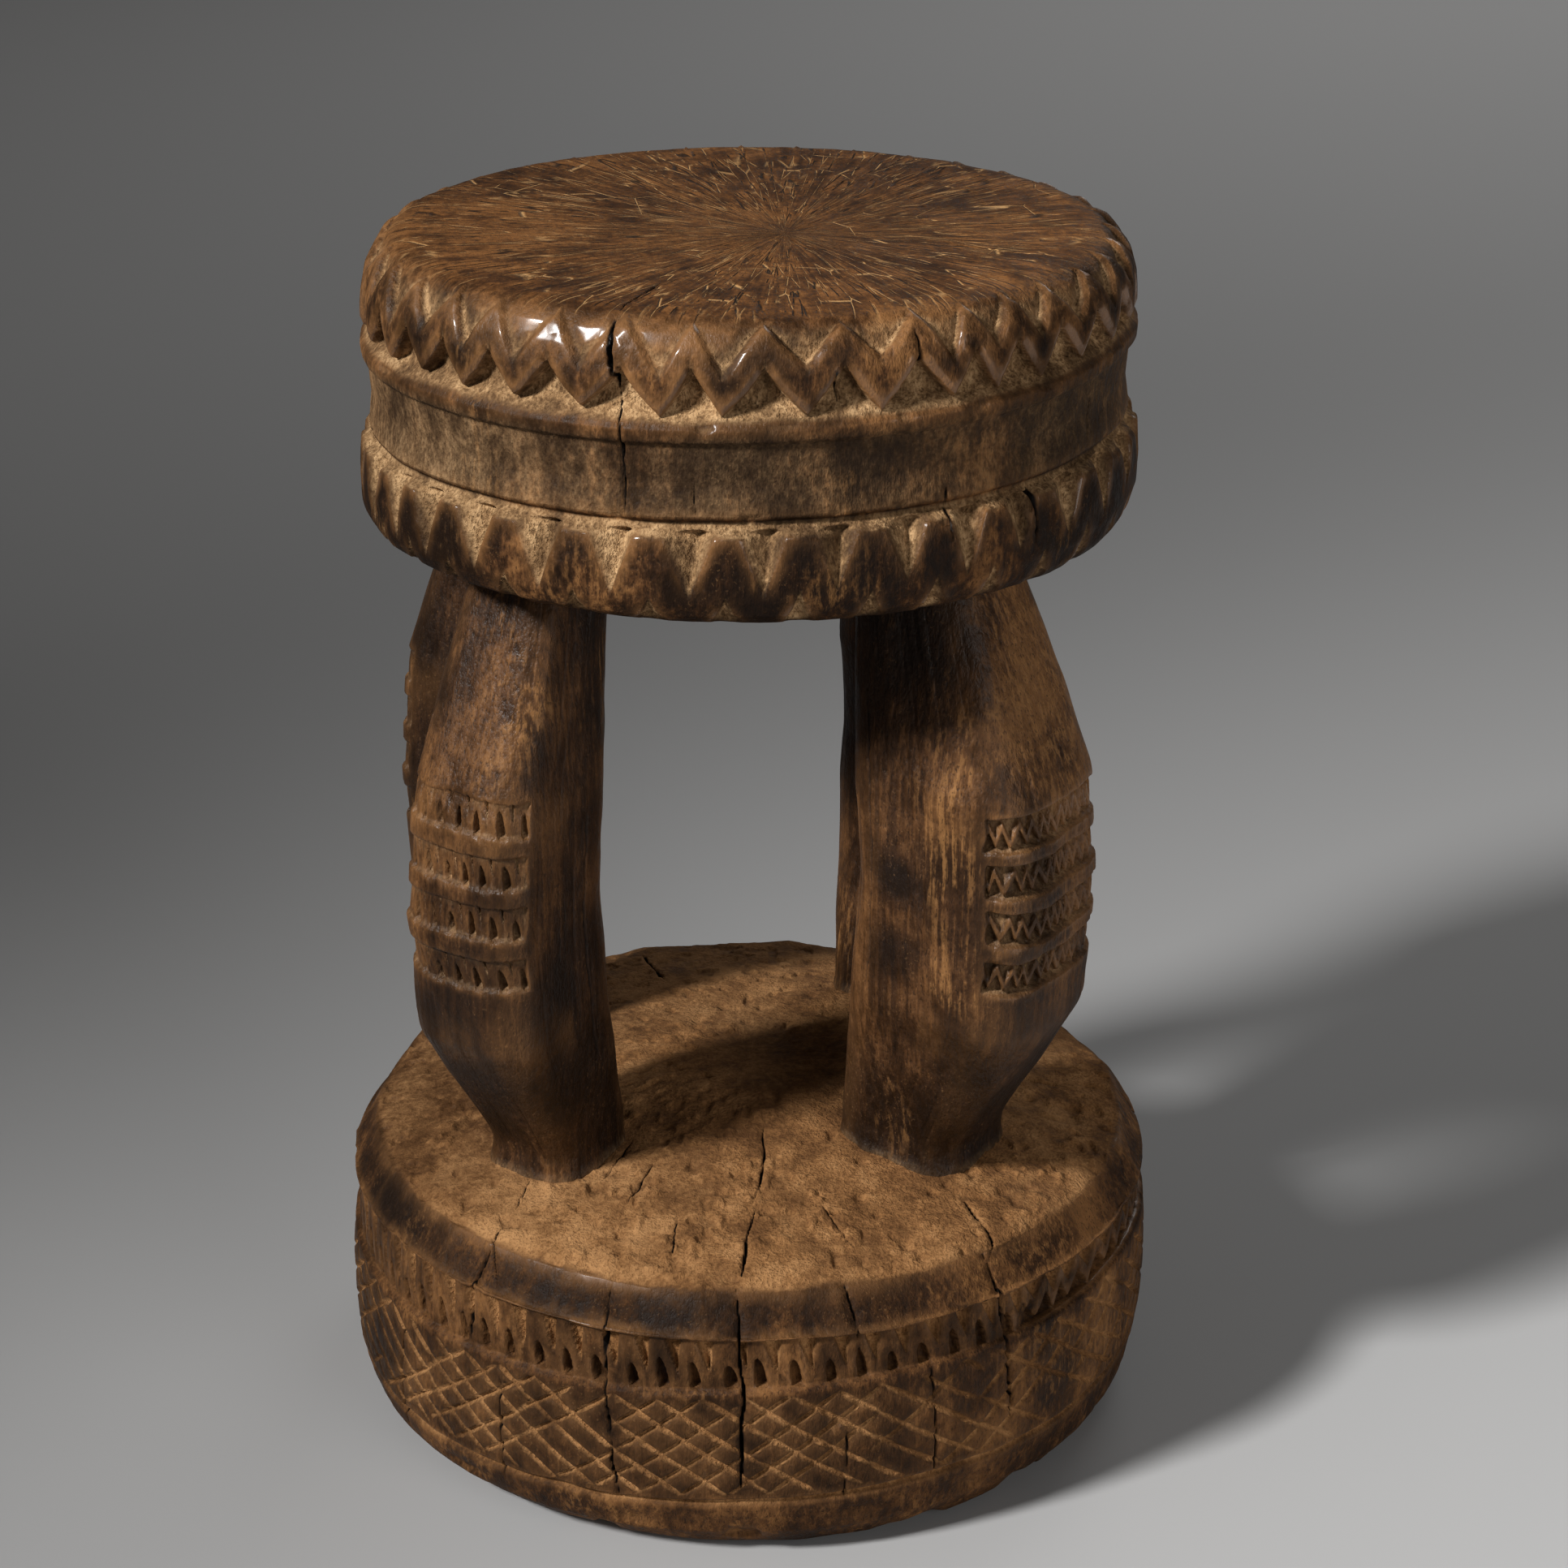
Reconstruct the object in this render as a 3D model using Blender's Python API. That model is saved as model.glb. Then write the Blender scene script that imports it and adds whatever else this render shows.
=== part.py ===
# Carved wooden stool: a drum-shaped seat on four bowed legs that stand in a drum-shaped base.
# Metres, +Z up. The origin is the centre of the flat underside of the base.
# Each leg has a stub tenon at both ends. Its foot is housed in the domed top of the base,
# and its head butts against the flat underside of the seat.
# Bearings are in degrees from the front (-Y), positive to the right (+X).
import math

import bmesh
import bpy
from mathutils import Vector

# Base, from the floor up
BASE_LIP_HEIGHT = 0.0245
BASE_HATCHED_BAND_HEIGHT = 0.045
BASE_TOOTHED_ROW_HEIGHT = 0.020
BASE_SHOULDER_HEIGHT = 0.0175
BASE_DOME_RISE = 0.016
BASE_UNDERSIDE_RADIUS = 0.126
BASE_LIP_RADIUS = 0.1475
BASE_BAND_RADIUS = 0.149
BASE_BAND_SWELL = 0.001
BASE_ROW_RADIUS = 0.1468
BASE_BELT_RADIUS = 0.1486
BASE_BROW_RADIUS = 0.1394
BASE_BROW_DROP = 0.0022
BASE_TOP_RADIUS = 0.132
BASE_GROOVE_DEPTH = 0.002
BASE_GROOVE_WIDTH = 0.004
BASE_EDGE_STEP = 0.0012

# Carving of the base: slots cut up and notches cut down in the toothed row, and crossed
# cuts that leave diamonds on the hatched band. The carved lines climb towards the right.
ROW_TEETH = 80
ROW_SLOT_DEPTH = 0.0036
ROW_SLOT_RISE = 0.008
ROW_NOTCH_DEPTH = 0.003
ROW_NOTCH_DROP = 0.009
HATCH_DIAMONDS = 60
HATCH_ROWS = 7
HATCH_DEPTH = 0.0014
HATCH_MARGIN = 0.002
BASE_LINE_CLIMB = 0.005

# Seat, from its underside up
SEAT_LOWER_BAND_HEIGHT = 0.034
SEAT_PLAIN_BAND_HEIGHT = 0.026
SEAT_RIDGE_HEIGHT = 0.008
SEAT_UPPER_BAND_HEIGHT = 0.031
SEAT_UNDERSIDE_RADIUS = 0.125
SEAT_LEDGE_RADIUS = 0.134
SEAT_LEDGE_DROP = 0.0035
SEAT_PLAIN_BAND_RADIUS = 0.130
SEAT_RIDGE_RADIUS = 0.132
SEAT_RIM_RADIUS = 0.131
SEAT_TOP_RADIUS = 0.114
SEAT_RIM_ROUND_HEIGHT = 0.018
SEAT_FOOT_ROUND_HEIGHT = 0.010

# Carving of the seat: a raised zigzag on the rim, with rises measured along the rim from the
# ridge, V notches that open at the ledge, and small notches between them at the bottom edge
SEAT_TEETH = 36
ZIGZAG_TIP_RISE = 0.003
ZIGZAG_GROOVE_RISE = 0.0185
ZIGZAG_DIP_RISE = 0.0165
ZIGZAG_HORN_MARGIN = 0.008
ZIGZAG_GROOVE_DEPTH = 0.0052
ZIGZAG_GROOVE_RUN = 0.005
ZIGZAG_SCOOP_DEPTH = 0.003
ZIGZAG_WALL_RUN = 0.0015
LEDGE_NOTCH_DEPTH = 0.0066
FOOT_NOTCH_DEPTH = 0.0044
SEAT_LINE_CLIMB = 0.003

# Teeth that the front shows; the rest follow evenly round the back
ZIGZAG_TIP_BEARINGS = (-63.0, -53.0, -43.5, -34.0, -23.5, -12.0, -3.5, 8.0, 18.5, 29.5, 37.0, 45.5)
NOTCH_BEARINGS = (-60.5, -52.0, -41.0, -30.0, -19.0, -8.0, 2.0, 12.0, 22.0, 31.5)

# Shares of the space between two notches: the notch's sides and deepest line at the ledge,
# its sides where it runs out, and the sides of the small notches
NOTCH_SIDE_SHARE = 0.66
NOTCH_DEEPEST_SHARE = 0.26
NOTCH_END_SHARE = 0.30
FOOT_NOTCH_SHARE = 0.44

# Legs: heights above the edge of the base's top, and sections across and along the radius
LEG_CLEAR_HEIGHT = 0.235
LOWER_ELBOW_HEIGHT = 0.070
UPPER_ELBOW_HEIGHT = 0.156
LEG_BOW = 0.018
PANEL_SWELL = 0.003
FOOT_WIDTH = 0.042
FOOT_DEPTH = 0.041
ELBOW_WIDTH = 0.058
ELBOW_DEPTH = 0.060
HEAD_WIDTH = 0.040
HEAD_DEPTH = 0.037
SECTION_SQUARENESS = 2.5

# Distance of each foot's centre from the middle of the stool
FRONT_LEFT_REACH = 0.088
FRONT_RIGHT_REACH = 0.078
BACK_LEFT_REACH = 0.094
BACK_RIGHT_REACH = 0.096

# Joints between the legs and the two drums
TENON_RADIUS = 0.014
TENON_LENGTH = 0.030
HOUSING_DEPTH = 0.004
FIT_GAP = 0.0003
CUT_OVERRUN = 0.004

# Each leg: name, bearing, reach, turn of its carved face away from that bearing (degrees),
# and girth beside the common section
LEGS = (
    ("leg_front_left", -51.0, FRONT_LEFT_REACH, 12.0, 0.98),
    ("leg_front_right", 54.0, FRONT_RIGHT_REACH, 3.0, 1.22),
    ("leg_back_left", -122.0, BACK_LEFT_REACH, 0.0, 1.00),
    ("leg_back_right", 142.0, BACK_RIGHT_REACH, 0.0, 1.04),
)

# Facets of the round pieces
DRUM_STEPS = 64
SECTION_POINTS = 24
ROUND_STEPS = 4
DOME_STEPS = 4

# Heights that follow from the sizes above
toothed_row_bottom = BASE_LIP_HEIGHT + BASE_HATCHED_BAND_HEIGHT
shoulder_bottom = toothed_row_bottom + BASE_TOOTHED_ROW_HEIGHT
base_edge_height = shoulder_bottom + BASE_SHOULDER_HEIGHT
base_crown_height = base_edge_height + BASE_DOME_RISE
housing_floor = base_edge_height - HOUSING_DEPTH
seat_underside = base_edge_height + LEG_CLEAR_HEIGHT
seat_foot_top = seat_underside + SEAT_FOOT_ROUND_HEIGHT
seat_ledge = seat_underside + SEAT_LOWER_BAND_HEIGHT
seat_ridge_bottom = seat_ledge + SEAT_PLAIN_BAND_HEIGHT
seat_ridge_top = seat_ridge_bottom + SEAT_RIDGE_HEIGHT
seat_top = seat_ridge_top + SEAT_UPPER_BAND_HEIGHT


def clear_scene():
    for leftover in list(bpy.data.objects):
        bpy.data.objects.remove(leftover, do_unlink=True)


def new_collection(name):
    collection = bpy.data.collections.new(name)
    bpy.context.scene.collection.children.link(collection)
    return collection


def wood_material(name, colour, roughness):
    material = bpy.data.materials.new(name)
    material.use_nodes = True
    shader = material.node_tree.nodes["Principled BSDF"]
    shader.inputs["Base Color"].default_value = (*colour, 1.0)
    shader.inputs["Roughness"].default_value = roughness
    shader.inputs["Metallic"].default_value = 0.0
    return material


def add_object(name, mesh, collection, material):
    part = bpy.data.objects.new(name, mesh)
    collection.objects.link(part)
    if material:
        mesh.materials.append(material)
        mesh.shade_smooth()
        mesh.set_sharp_from_angle(angle=math.radians(35.0))
    return part


def quarter_round(start, end, bulge_outward_first):
    # Points after start, up to and including end, on a quarter of an ellipse between the two.
    # With bulge_outward_first the radius changes before the height does.
    (start_radius, start_height), (end_radius, end_height) = start, end
    points = []
    for step in range(1, ROUND_STEPS + 1):
        angle = 0.5 * math.pi * step / ROUND_STEPS
        early, late = math.sin(angle), 1.0 - math.cos(angle)
        along_radius, along_height = (early, late) if bulge_outward_first else (late, early)
        points.append((
            start_radius + (end_radius - start_radius) * along_radius,
            start_height + (end_height - start_height) * along_height,
        ))
    return points


def plain_ring(radius, height, steps=DRUM_STEPS):
    # A level ring of points, each with its bearing, radius and height
    return [(360.0 * step / steps, radius, height) for step in range(steps)]


def climbing(ring, climb, empty_low, full_low, full_high, empty_high):
    # Lifts a ring on the right and lowers it on the left, fully between two heights
    lifted = []
    for bearing, radius, height in ring:
        from_low = (height - empty_low) / (full_low - empty_low)
        from_high = (empty_high - height) / (empty_high - full_high)
        share = min(max(min(from_low, from_high), 0.0), 1.0)
        lifted.append((bearing, radius, height + climb * share * math.sin(math.radians(bearing))))
    return lifted


def teeth_round(seen, count):
    step = (360.0 - (seen[-1] - seen[0])) / (count - len(seen) + 1)
    return list(seen) + [seen[-1] + step * (number + 1) for number in range(count - len(seen))]


def dome_height(radius):
    return base_edge_height + BASE_DOME_RISE * (1.0 - (radius / BASE_TOP_RADIUS) ** 2)


def toothed_row_ring(height, notch_depth, slot_depth):
    # Notches and slots take turns round the row
    ring = []
    for tooth in range(ROW_TEETH):
        bearing = 360.0 * tooth / ROW_TEETH
        ring.append((bearing, BASE_ROW_RADIUS - notch_depth, height))
        ring.append((bearing + 180.0 / ROW_TEETH, BASE_ROW_RADIUS - slot_depth, height))
    return ring


def hatched_rings():
    # Every second point is where two cuts cross, and the points between are tops of diamonds
    top = toothed_row_bottom - HATCH_MARGIN
    bottom = BASE_LIP_HEIGHT + BASE_GROOVE_WIDTH
    rings = []
    for row in range(HATCH_ROWS + 1):
        share = row / HATCH_ROWS
        radius = BASE_BAND_RADIUS + BASE_BAND_SWELL * math.sin(math.pi * share)
        ring = []
        for column in range(2 * HATCH_DIAMONDS):
            depth = HATCH_DEPTH if (row + column) % 2 == 0 else 0.0
            ring.append((180.0 * column / HATCH_DIAMONDS, radius - depth, top + (bottom - top) * share))
        rings.append(ring)
    return rings


def base_rings():
    # From the crown of the top, over the shoulder, down the carved side to the underside
    rings = [[(0.0, 0.0, base_crown_height)]]
    for step in range(1, DOME_STEPS + 1):
        radius = BASE_TOP_RADIUS * step / DOME_STEPS
        rings.append(plain_ring(radius, dome_height(radius)))
    rings.append(plain_ring(BASE_BROW_RADIUS, base_edge_height - BASE_BROW_DROP))
    rings.append(plain_ring(BASE_BELT_RADIUS, shoulder_bottom + BASE_EDGE_STEP))
    rings.append(toothed_row_ring(shoulder_bottom, ROW_NOTCH_DEPTH, 0.0))
    rings.append(toothed_row_ring(shoulder_bottom - ROW_NOTCH_DROP, 0.5 * ROW_NOTCH_DEPTH, 0.0))
    rings.append(toothed_row_ring(toothed_row_bottom + ROW_SLOT_RISE, 0.0, ROW_SLOT_DEPTH))
    rings.append(toothed_row_ring(toothed_row_bottom + BASE_EDGE_STEP, 0.0, ROW_SLOT_DEPTH))
    rings.append(plain_ring(BASE_BAND_RADIUS, toothed_row_bottom, 2 * HATCH_DIAMONDS))
    rings += hatched_rings()
    rings.append(plain_ring(BASE_BAND_RADIUS - BASE_GROOVE_DEPTH, BASE_LIP_HEIGHT + 0.5 * BASE_GROOVE_WIDTH))
    lip = (BASE_LIP_RADIUS, BASE_LIP_HEIGHT)
    rings.append(plain_ring(*lip))
    rings += [plain_ring(*point) for point in quarter_round(lip, (BASE_UNDERSIDE_RADIUS, 0.0), False)]
    limits = (0.0, BASE_LIP_HEIGHT, toothed_row_bottom + BASE_EDGE_STEP, shoulder_bottom)
    return [climbing(ring, BASE_LINE_CLIMB, *limits) for ring in rings]


def rim_path():
    # The rim's profile from the ridge up to the flat of the seat, and the length at each point
    points = [(SEAT_RIM_RADIUS, seat_ridge_top), (SEAT_RIM_RADIUS, seat_top - SEAT_RIM_ROUND_HEIGHT)]
    points += quarter_round(points[-1], (SEAT_TOP_RADIUS, seat_top), False)
    lengths = [0.0]
    for before, after in zip(points, points[1:]):
        lengths.append(lengths[-1] + math.dist(before, after))
    return points, lengths


def rim_point(rise, depth):
    # Radius and height of a point on the rim, sunk into it by depth
    points, lengths = rim_path()
    number = max(index for index in range(len(lengths) - 1) if lengths[index] <= rise)
    (radius, height), (next_radius, next_height) = points[number], points[number + 1]
    span = lengths[number + 1] - lengths[number]
    share = (rise - lengths[number]) / span
    run, climb = (next_radius - radius) / span, (next_height - height) / span
    return radius + run * span * share - climb * depth, height + climb * span * share + run * depth


def zigzag_ring(tip, groove):
    # Tips of the zigzag and the grooves between them take turns; each has a rise and a depth
    tips = teeth_round(ZIGZAG_TIP_BEARINGS, SEAT_TEETH)
    ring = []
    for bearing, following in zip(tips, tips[1:] + [tips[0] + 360.0]):
        ring.append((bearing, *rim_point(*tip)))
        ring.append((0.5 * (bearing + following), *rim_point(*groove)))
    return ring


def notched_ring(shares, depths, radius, height):
    # Four points to a notch: its left side, its deepest line, its right side, the tooth beyond
    notches = teeth_round(NOTCH_BEARINGS, SEAT_TEETH)
    before = [notches[-1] - 360.0] + notches[:-1]
    after = notches[1:] + [notches[0] + 360.0]
    ring = []
    for previous, notch, following in zip(before, notches, after):
        left, right = 0.5 * (notch - previous), 0.5 * (following - notch)
        for share, depth in zip(shares, depths):
            bearing = notch + share * (left if share < 0.0 else right)
            ring.append((bearing, radius - depth, height))
    return ring


def seat_rings():
    # From the flat top, over the carved rim, down the banded side to the underside
    horn = rim_path()[1][-1] - ZIGZAG_HORN_MARGIN
    wall = ZIGZAG_WALL_RUN
    depth = ZIGZAG_GROOVE_DEPTH
    rings = [
        [(bearing, SEAT_TOP_RADIUS, seat_top) for bearing, _, _ in zigzag_ring((0.0, 0.0), (0.0, 0.0))],
        zigzag_ring((ZIGZAG_DIP_RISE + wall, ZIGZAG_SCOOP_DEPTH), (horn + wall, 0.0)),
        zigzag_ring((ZIGZAG_DIP_RISE, 0.0), (horn, 0.0)),
        zigzag_ring((ZIGZAG_TIP_RISE, 0.0), (ZIGZAG_GROOVE_RISE, 0.0)),
        zigzag_ring((0.7 * ZIGZAG_TIP_RISE, 0.0), (ZIGZAG_GROOVE_RISE - wall, depth)),
        zigzag_ring((0.4 * ZIGZAG_TIP_RISE, 0.0), (ZIGZAG_GROOVE_RUN, depth)),
        zigzag_ring((0.0, 0.0), (0.0, 0.0)),
    ]
    columns = [bearing for bearing, _, _ in rings[0]]
    for radius, height in (
        (SEAT_RIDGE_RADIUS, seat_ridge_top - 0.5 * SEAT_RIDGE_HEIGHT),
        (SEAT_PLAIN_BAND_RADIUS, seat_ridge_bottom),
        (SEAT_PLAIN_BAND_RADIUS, seat_ledge),
    ):
        rings.append([(bearing, radius, height) for bearing in columns])

    foot = quarter_round((SEAT_LEDGE_RADIUS, seat_foot_top), (SEAT_UNDERSIDE_RADIUS, seat_underside), False)
    foot_side = 1.0 - FOOT_NOTCH_SHARE
    rings += [
        notched_ring(
            (-NOTCH_SIDE_SHARE, NOTCH_DEEPEST_SHARE, NOTCH_SIDE_SHARE, 1.0),
            (0.0, LEDGE_NOTCH_DEPTH, 0.0, 0.0), SEAT_LEDGE_RADIUS, seat_ledge - SEAT_LEDGE_DROP),
        notched_ring(
            (-NOTCH_END_SHARE, 0.0, NOTCH_END_SHARE, 1.0),
            (0.0, 0.0, 0.0, 0.5 * FOOT_NOTCH_DEPTH), SEAT_LEDGE_RADIUS, seat_foot_top),
        notched_ring((-foot_side, 0.0, foot_side, 1.0), (0.0, 0.0, 0.0, FOOT_NOTCH_DEPTH), *foot[1]),
        notched_ring((-foot_side, 0.0, foot_side, 1.0), (0.0, 0.0, 0.0, 0.0), *foot[-1]),
    ]
    limits = (seat_underside, seat_foot_top, seat_ridge_top, seat_top)
    return [climbing(ring, SEAT_LINE_CLIMB, *limits) for ring in rings]


def join_rings(work, upper, lower):
    # Triangles between two rings of vertices, each given with its bearing and radius
    if len(upper) == 1:
        for one, two in zip(lower, lower[1:] + lower[:1]):
            work.faces.new((upper[0][2], one[2], two[2]))
        return
    if len(upper) == len(lower):
        for index in range(len(upper)):
            following = (index + 1) % len(upper)
            a, b, c, d = upper[index], upper[following], lower[following], lower[index]
            # The quad folds along the diagonal that lies deeper, so that cuts stay cuts
            folds = ((a, b, c), (a, c, d)) if a[1] + c[1] < b[1] + d[1] else ((a, b, d), (b, c, d))
            for corners in folds:
                work.faces.new([corner[2] for corner in corners])
        return
    turn_upper = upper + [(upper[0][0] + 360.0, *upper[0][1:])]
    turn_lower = lower + [(lower[0][0] + 360.0, *lower[0][1:])]
    one = two = 0
    while one < len(upper) or two < len(lower):
        upper_next = turn_upper[one + 1][0] if one < len(upper) else math.inf
        lower_next = turn_lower[two + 1][0] if two < len(lower) else math.inf
        if upper_next <= lower_next:
            corners = (turn_upper[one], turn_upper[one + 1], turn_lower[two])
            one += 1
        else:
            corners = (turn_upper[one], turn_lower[two + 1], turn_lower[two])
            two += 1
        work.faces.new([corner[2] for corner in corners])


def carved_drum(name, rings, collection, material):
    mesh = bpy.data.meshes.new(name)
    work = bmesh.new()
    loops = []
    for ring in rings:
        loop = []
        for bearing, radius, height in ring:
            turn = math.radians(bearing)
            place = (math.sin(turn) * radius, -math.cos(turn) * radius, height)
            loop.append((bearing, radius, work.verts.new(place)))
        loops.append(loop)
    for upper, lower in zip(loops, loops[1:]):
        join_rings(work, upper, lower)
    for loop in (loops[0], loops[-1]):
        if len(loop) > 1:
            work.faces.new([corner[2] for corner in loop])
    bmesh.ops.recalc_face_normals(work, faces=work.faces)
    work.to_mesh(mesh)
    work.free()
    return add_object(name, mesh, collection, material)


def section_ring(centre, facing, width, depth, squareness, height):
    # One closed ring of points: width runs across the facing bearing, depth along it
    outward = Vector((math.sin(facing), -math.cos(facing), 0.0))
    across = Vector((math.cos(facing), math.sin(facing), 0.0))
    ring = []
    for step in range(SECTION_POINTS):
        angle = math.tau * step / SECTION_POINTS
        cosine, sine = math.cos(angle), math.sin(angle)
        along_width = math.copysign(abs(cosine) ** (2.0 / squareness), cosine)
        along_depth = math.copysign(abs(sine) ** (2.0 / squareness), sine)
        offset = across * (0.5 * width * along_width) - outward * (0.5 * depth * along_depth)
        ring.append(Vector((centre.x, centre.y, height)) + offset)
    return ring


def lofted_solid(name, rings, collection, material):
    mesh = bpy.data.meshes.new(name)
    work = bmesh.new()
    loops = [[work.verts.new(point) for point in ring] for ring in rings]
    for lower, upper in zip(loops, loops[1:]):
        for index in range(SECTION_POINTS):
            following = (index + 1) % SECTION_POINTS
            work.faces.new((lower[index], lower[following], upper[following], upper[index]))
    work.faces.new(list(reversed(loops[0])))
    work.faces.new(loops[-1])
    bmesh.ops.recalc_face_normals(work, faces=work.faces)
    work.to_mesh(mesh)
    work.free()
    return add_object(name, mesh, collection, material)


class Leg:
    # Places and sections of one leg, shared by the leg itself and by what it fits into
    def __init__(self, name, bearing, reach, turn, girth):
        self.name = name
        self.bearing = math.radians(bearing)
        self.reach = reach
        self.facing = math.radians(bearing + turn)
        self.girth = girth

    def centre(self, bow):
        radius = self.reach + bow
        return Vector((math.sin(self.bearing) * radius, -math.cos(self.bearing) * radius, 0.0))

    def ring(self, bow, width, depth, height, grow=0.0):
        return section_ring(
            self.centre(bow), self.facing,
            width * self.girth + 2.0 * grow, depth * self.girth + 2.0 * grow,
            SECTION_SQUARENESS, height,
        )

    def tenon_ring(self, height, grow=0.0):
        diameter = 2.0 * (TENON_RADIUS + grow)
        return section_ring(self.centre(0.0), self.facing, diameter, diameter, 2.0, height)

    def solid_rings(self):
        shoulder = housing_floor + FIT_GAP
        head = seat_underside - FIT_GAP
        lower_elbow = base_edge_height + LOWER_ELBOW_HEIGHT
        upper_elbow = base_edge_height + UPPER_ELBOW_HEIGHT
        panel_middle = 0.5 * (lower_elbow + upper_elbow)
        return [
            self.tenon_ring(shoulder - TENON_LENGTH),
            self.tenon_ring(shoulder),
            self.ring(0.0, FOOT_WIDTH, FOOT_DEPTH, shoulder),
            self.ring(0.0, FOOT_WIDTH, FOOT_DEPTH, base_crown_height),
            self.ring(LEG_BOW, ELBOW_WIDTH, ELBOW_DEPTH, lower_elbow),
            self.ring(LEG_BOW + PANEL_SWELL, ELBOW_WIDTH, ELBOW_DEPTH, panel_middle),
            self.ring(LEG_BOW, ELBOW_WIDTH, ELBOW_DEPTH, upper_elbow),
            self.ring(0.0, HEAD_WIDTH, HEAD_DEPTH, head),
            self.tenon_ring(head),
            self.tenon_ring(head + TENON_LENGTH),
        ]

    def housing_rings(self):
        above_crown = base_crown_height + CUT_OVERRUN
        return [
            self.tenon_ring(housing_floor - TENON_LENGTH, FIT_GAP),
            self.tenon_ring(housing_floor, FIT_GAP),
            self.ring(0.0, FOOT_WIDTH, FOOT_DEPTH, housing_floor, FIT_GAP),
            self.ring(0.0, FOOT_WIDTH, FOOT_DEPTH, above_crown, FIT_GAP),
        ]

    def mortise_rings(self):
        return [
            self.tenon_ring(seat_underside - CUT_OVERRUN, FIT_GAP),
            self.tenon_ring(seat_underside + TENON_LENGTH, FIT_GAP),
        ]


def cut(part, name, rings, collection):
    cutter = lofted_solid(name, rings, collection, None)
    cutter.hide_render = True
    cutter.display_type = "WIRE"
    boolean = part.modifiers.new(name, "BOOLEAN")
    boolean.operation = "DIFFERENCE"
    boolean.solver = "EXACT"
    boolean.object = cutter


def build():
    clear_scene()
    parts = new_collection("carved_stool")
    cutters = new_collection("cutters")
    seat_wood = wood_material("seat_wood", (0.105, 0.052, 0.022), 0.45)
    base_wood = wood_material("base_wood", (0.125, 0.066, 0.030), 0.70)
    leg_wood = wood_material("leg_wood", (0.085, 0.043, 0.020), 0.55)

    base = carved_drum("base", base_rings(), parts, base_wood)
    seat = carved_drum("seat", seat_rings(), parts, seat_wood)
    for row in LEGS:
        leg = Leg(*row)
        lofted_solid(leg.name, leg.solid_rings(), parts, leg_wood)
        cut(base, leg.name + "_housing", leg.housing_rings(), cutters)
        cut(seat, leg.name + "_mortise", leg.mortise_rings(), cutters)


build()
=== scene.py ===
import math

import bpy
import numpy as np
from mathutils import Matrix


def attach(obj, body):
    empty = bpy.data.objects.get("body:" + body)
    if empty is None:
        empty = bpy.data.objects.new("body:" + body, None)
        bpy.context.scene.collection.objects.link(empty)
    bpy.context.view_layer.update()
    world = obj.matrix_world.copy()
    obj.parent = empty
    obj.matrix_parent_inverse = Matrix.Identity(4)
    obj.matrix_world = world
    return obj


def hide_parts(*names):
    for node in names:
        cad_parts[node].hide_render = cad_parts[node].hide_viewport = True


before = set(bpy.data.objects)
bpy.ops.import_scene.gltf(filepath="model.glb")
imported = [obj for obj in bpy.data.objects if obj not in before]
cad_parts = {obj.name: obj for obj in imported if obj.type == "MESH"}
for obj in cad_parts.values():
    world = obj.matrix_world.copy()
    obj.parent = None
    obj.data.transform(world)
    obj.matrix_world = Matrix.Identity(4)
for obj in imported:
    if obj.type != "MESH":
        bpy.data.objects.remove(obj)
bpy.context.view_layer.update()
mm = 0.001
detail = 1.0


# small helpers for the carving, all lengths in millimetres

def smooth(low, high, value):
    part = unit((value - low) / (high - low))
    return part * part * (3.0 - 2.0 * part)


def band(place, rise, risen, fall, fallen):
    # 1 from the place where it has risen to the place where it starts to fall, 0 outside
    return smooth(rise, risen, place) * (1.0 - smooth(fall, fallen, place))


def bell(away, width):
    return np.exp(-(away / width) ** 2)


def unit(value):
    return np.clip(value, 0.0, 1.0)


def lumps(x, y, z, seed):
    # smooth random hills between -1 and 1, one to each unit of length
    x, y, z = np.broadcast_arrays(x, y, z)
    corner = [np.floor(axis).astype(np.int64) for axis in (x, y, z)]
    part = [axis - whole for axis, whole in zip((x, y, z), corner)]
    part = [p * p * (3.0 - 2.0 * p) for p in part]
    total = np.zeros(x.shape)
    for step in range(8):
        right, back, up = step & 1, (step >> 1) & 1, step >> 2
        mixed = (corner[0] + right) * 374761393 + (corner[1] + back) * 668265263
        mixed = mixed + (corner[2] + up) * 2147483029 + seed * 1274126177
        mixed = (mixed ^ (mixed >> 13)) * 1103515245
        mixed = mixed ^ (mixed >> 16)
        share = (part[0] if right else 1.0 - part[0]) * (part[1] if back else 1.0 - part[1])
        share = share * (part[2] if up else 1.0 - part[2])
        total += share * ((mixed & 0xFFFF) / 32767.5 - 1.0)
    return total


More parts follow.
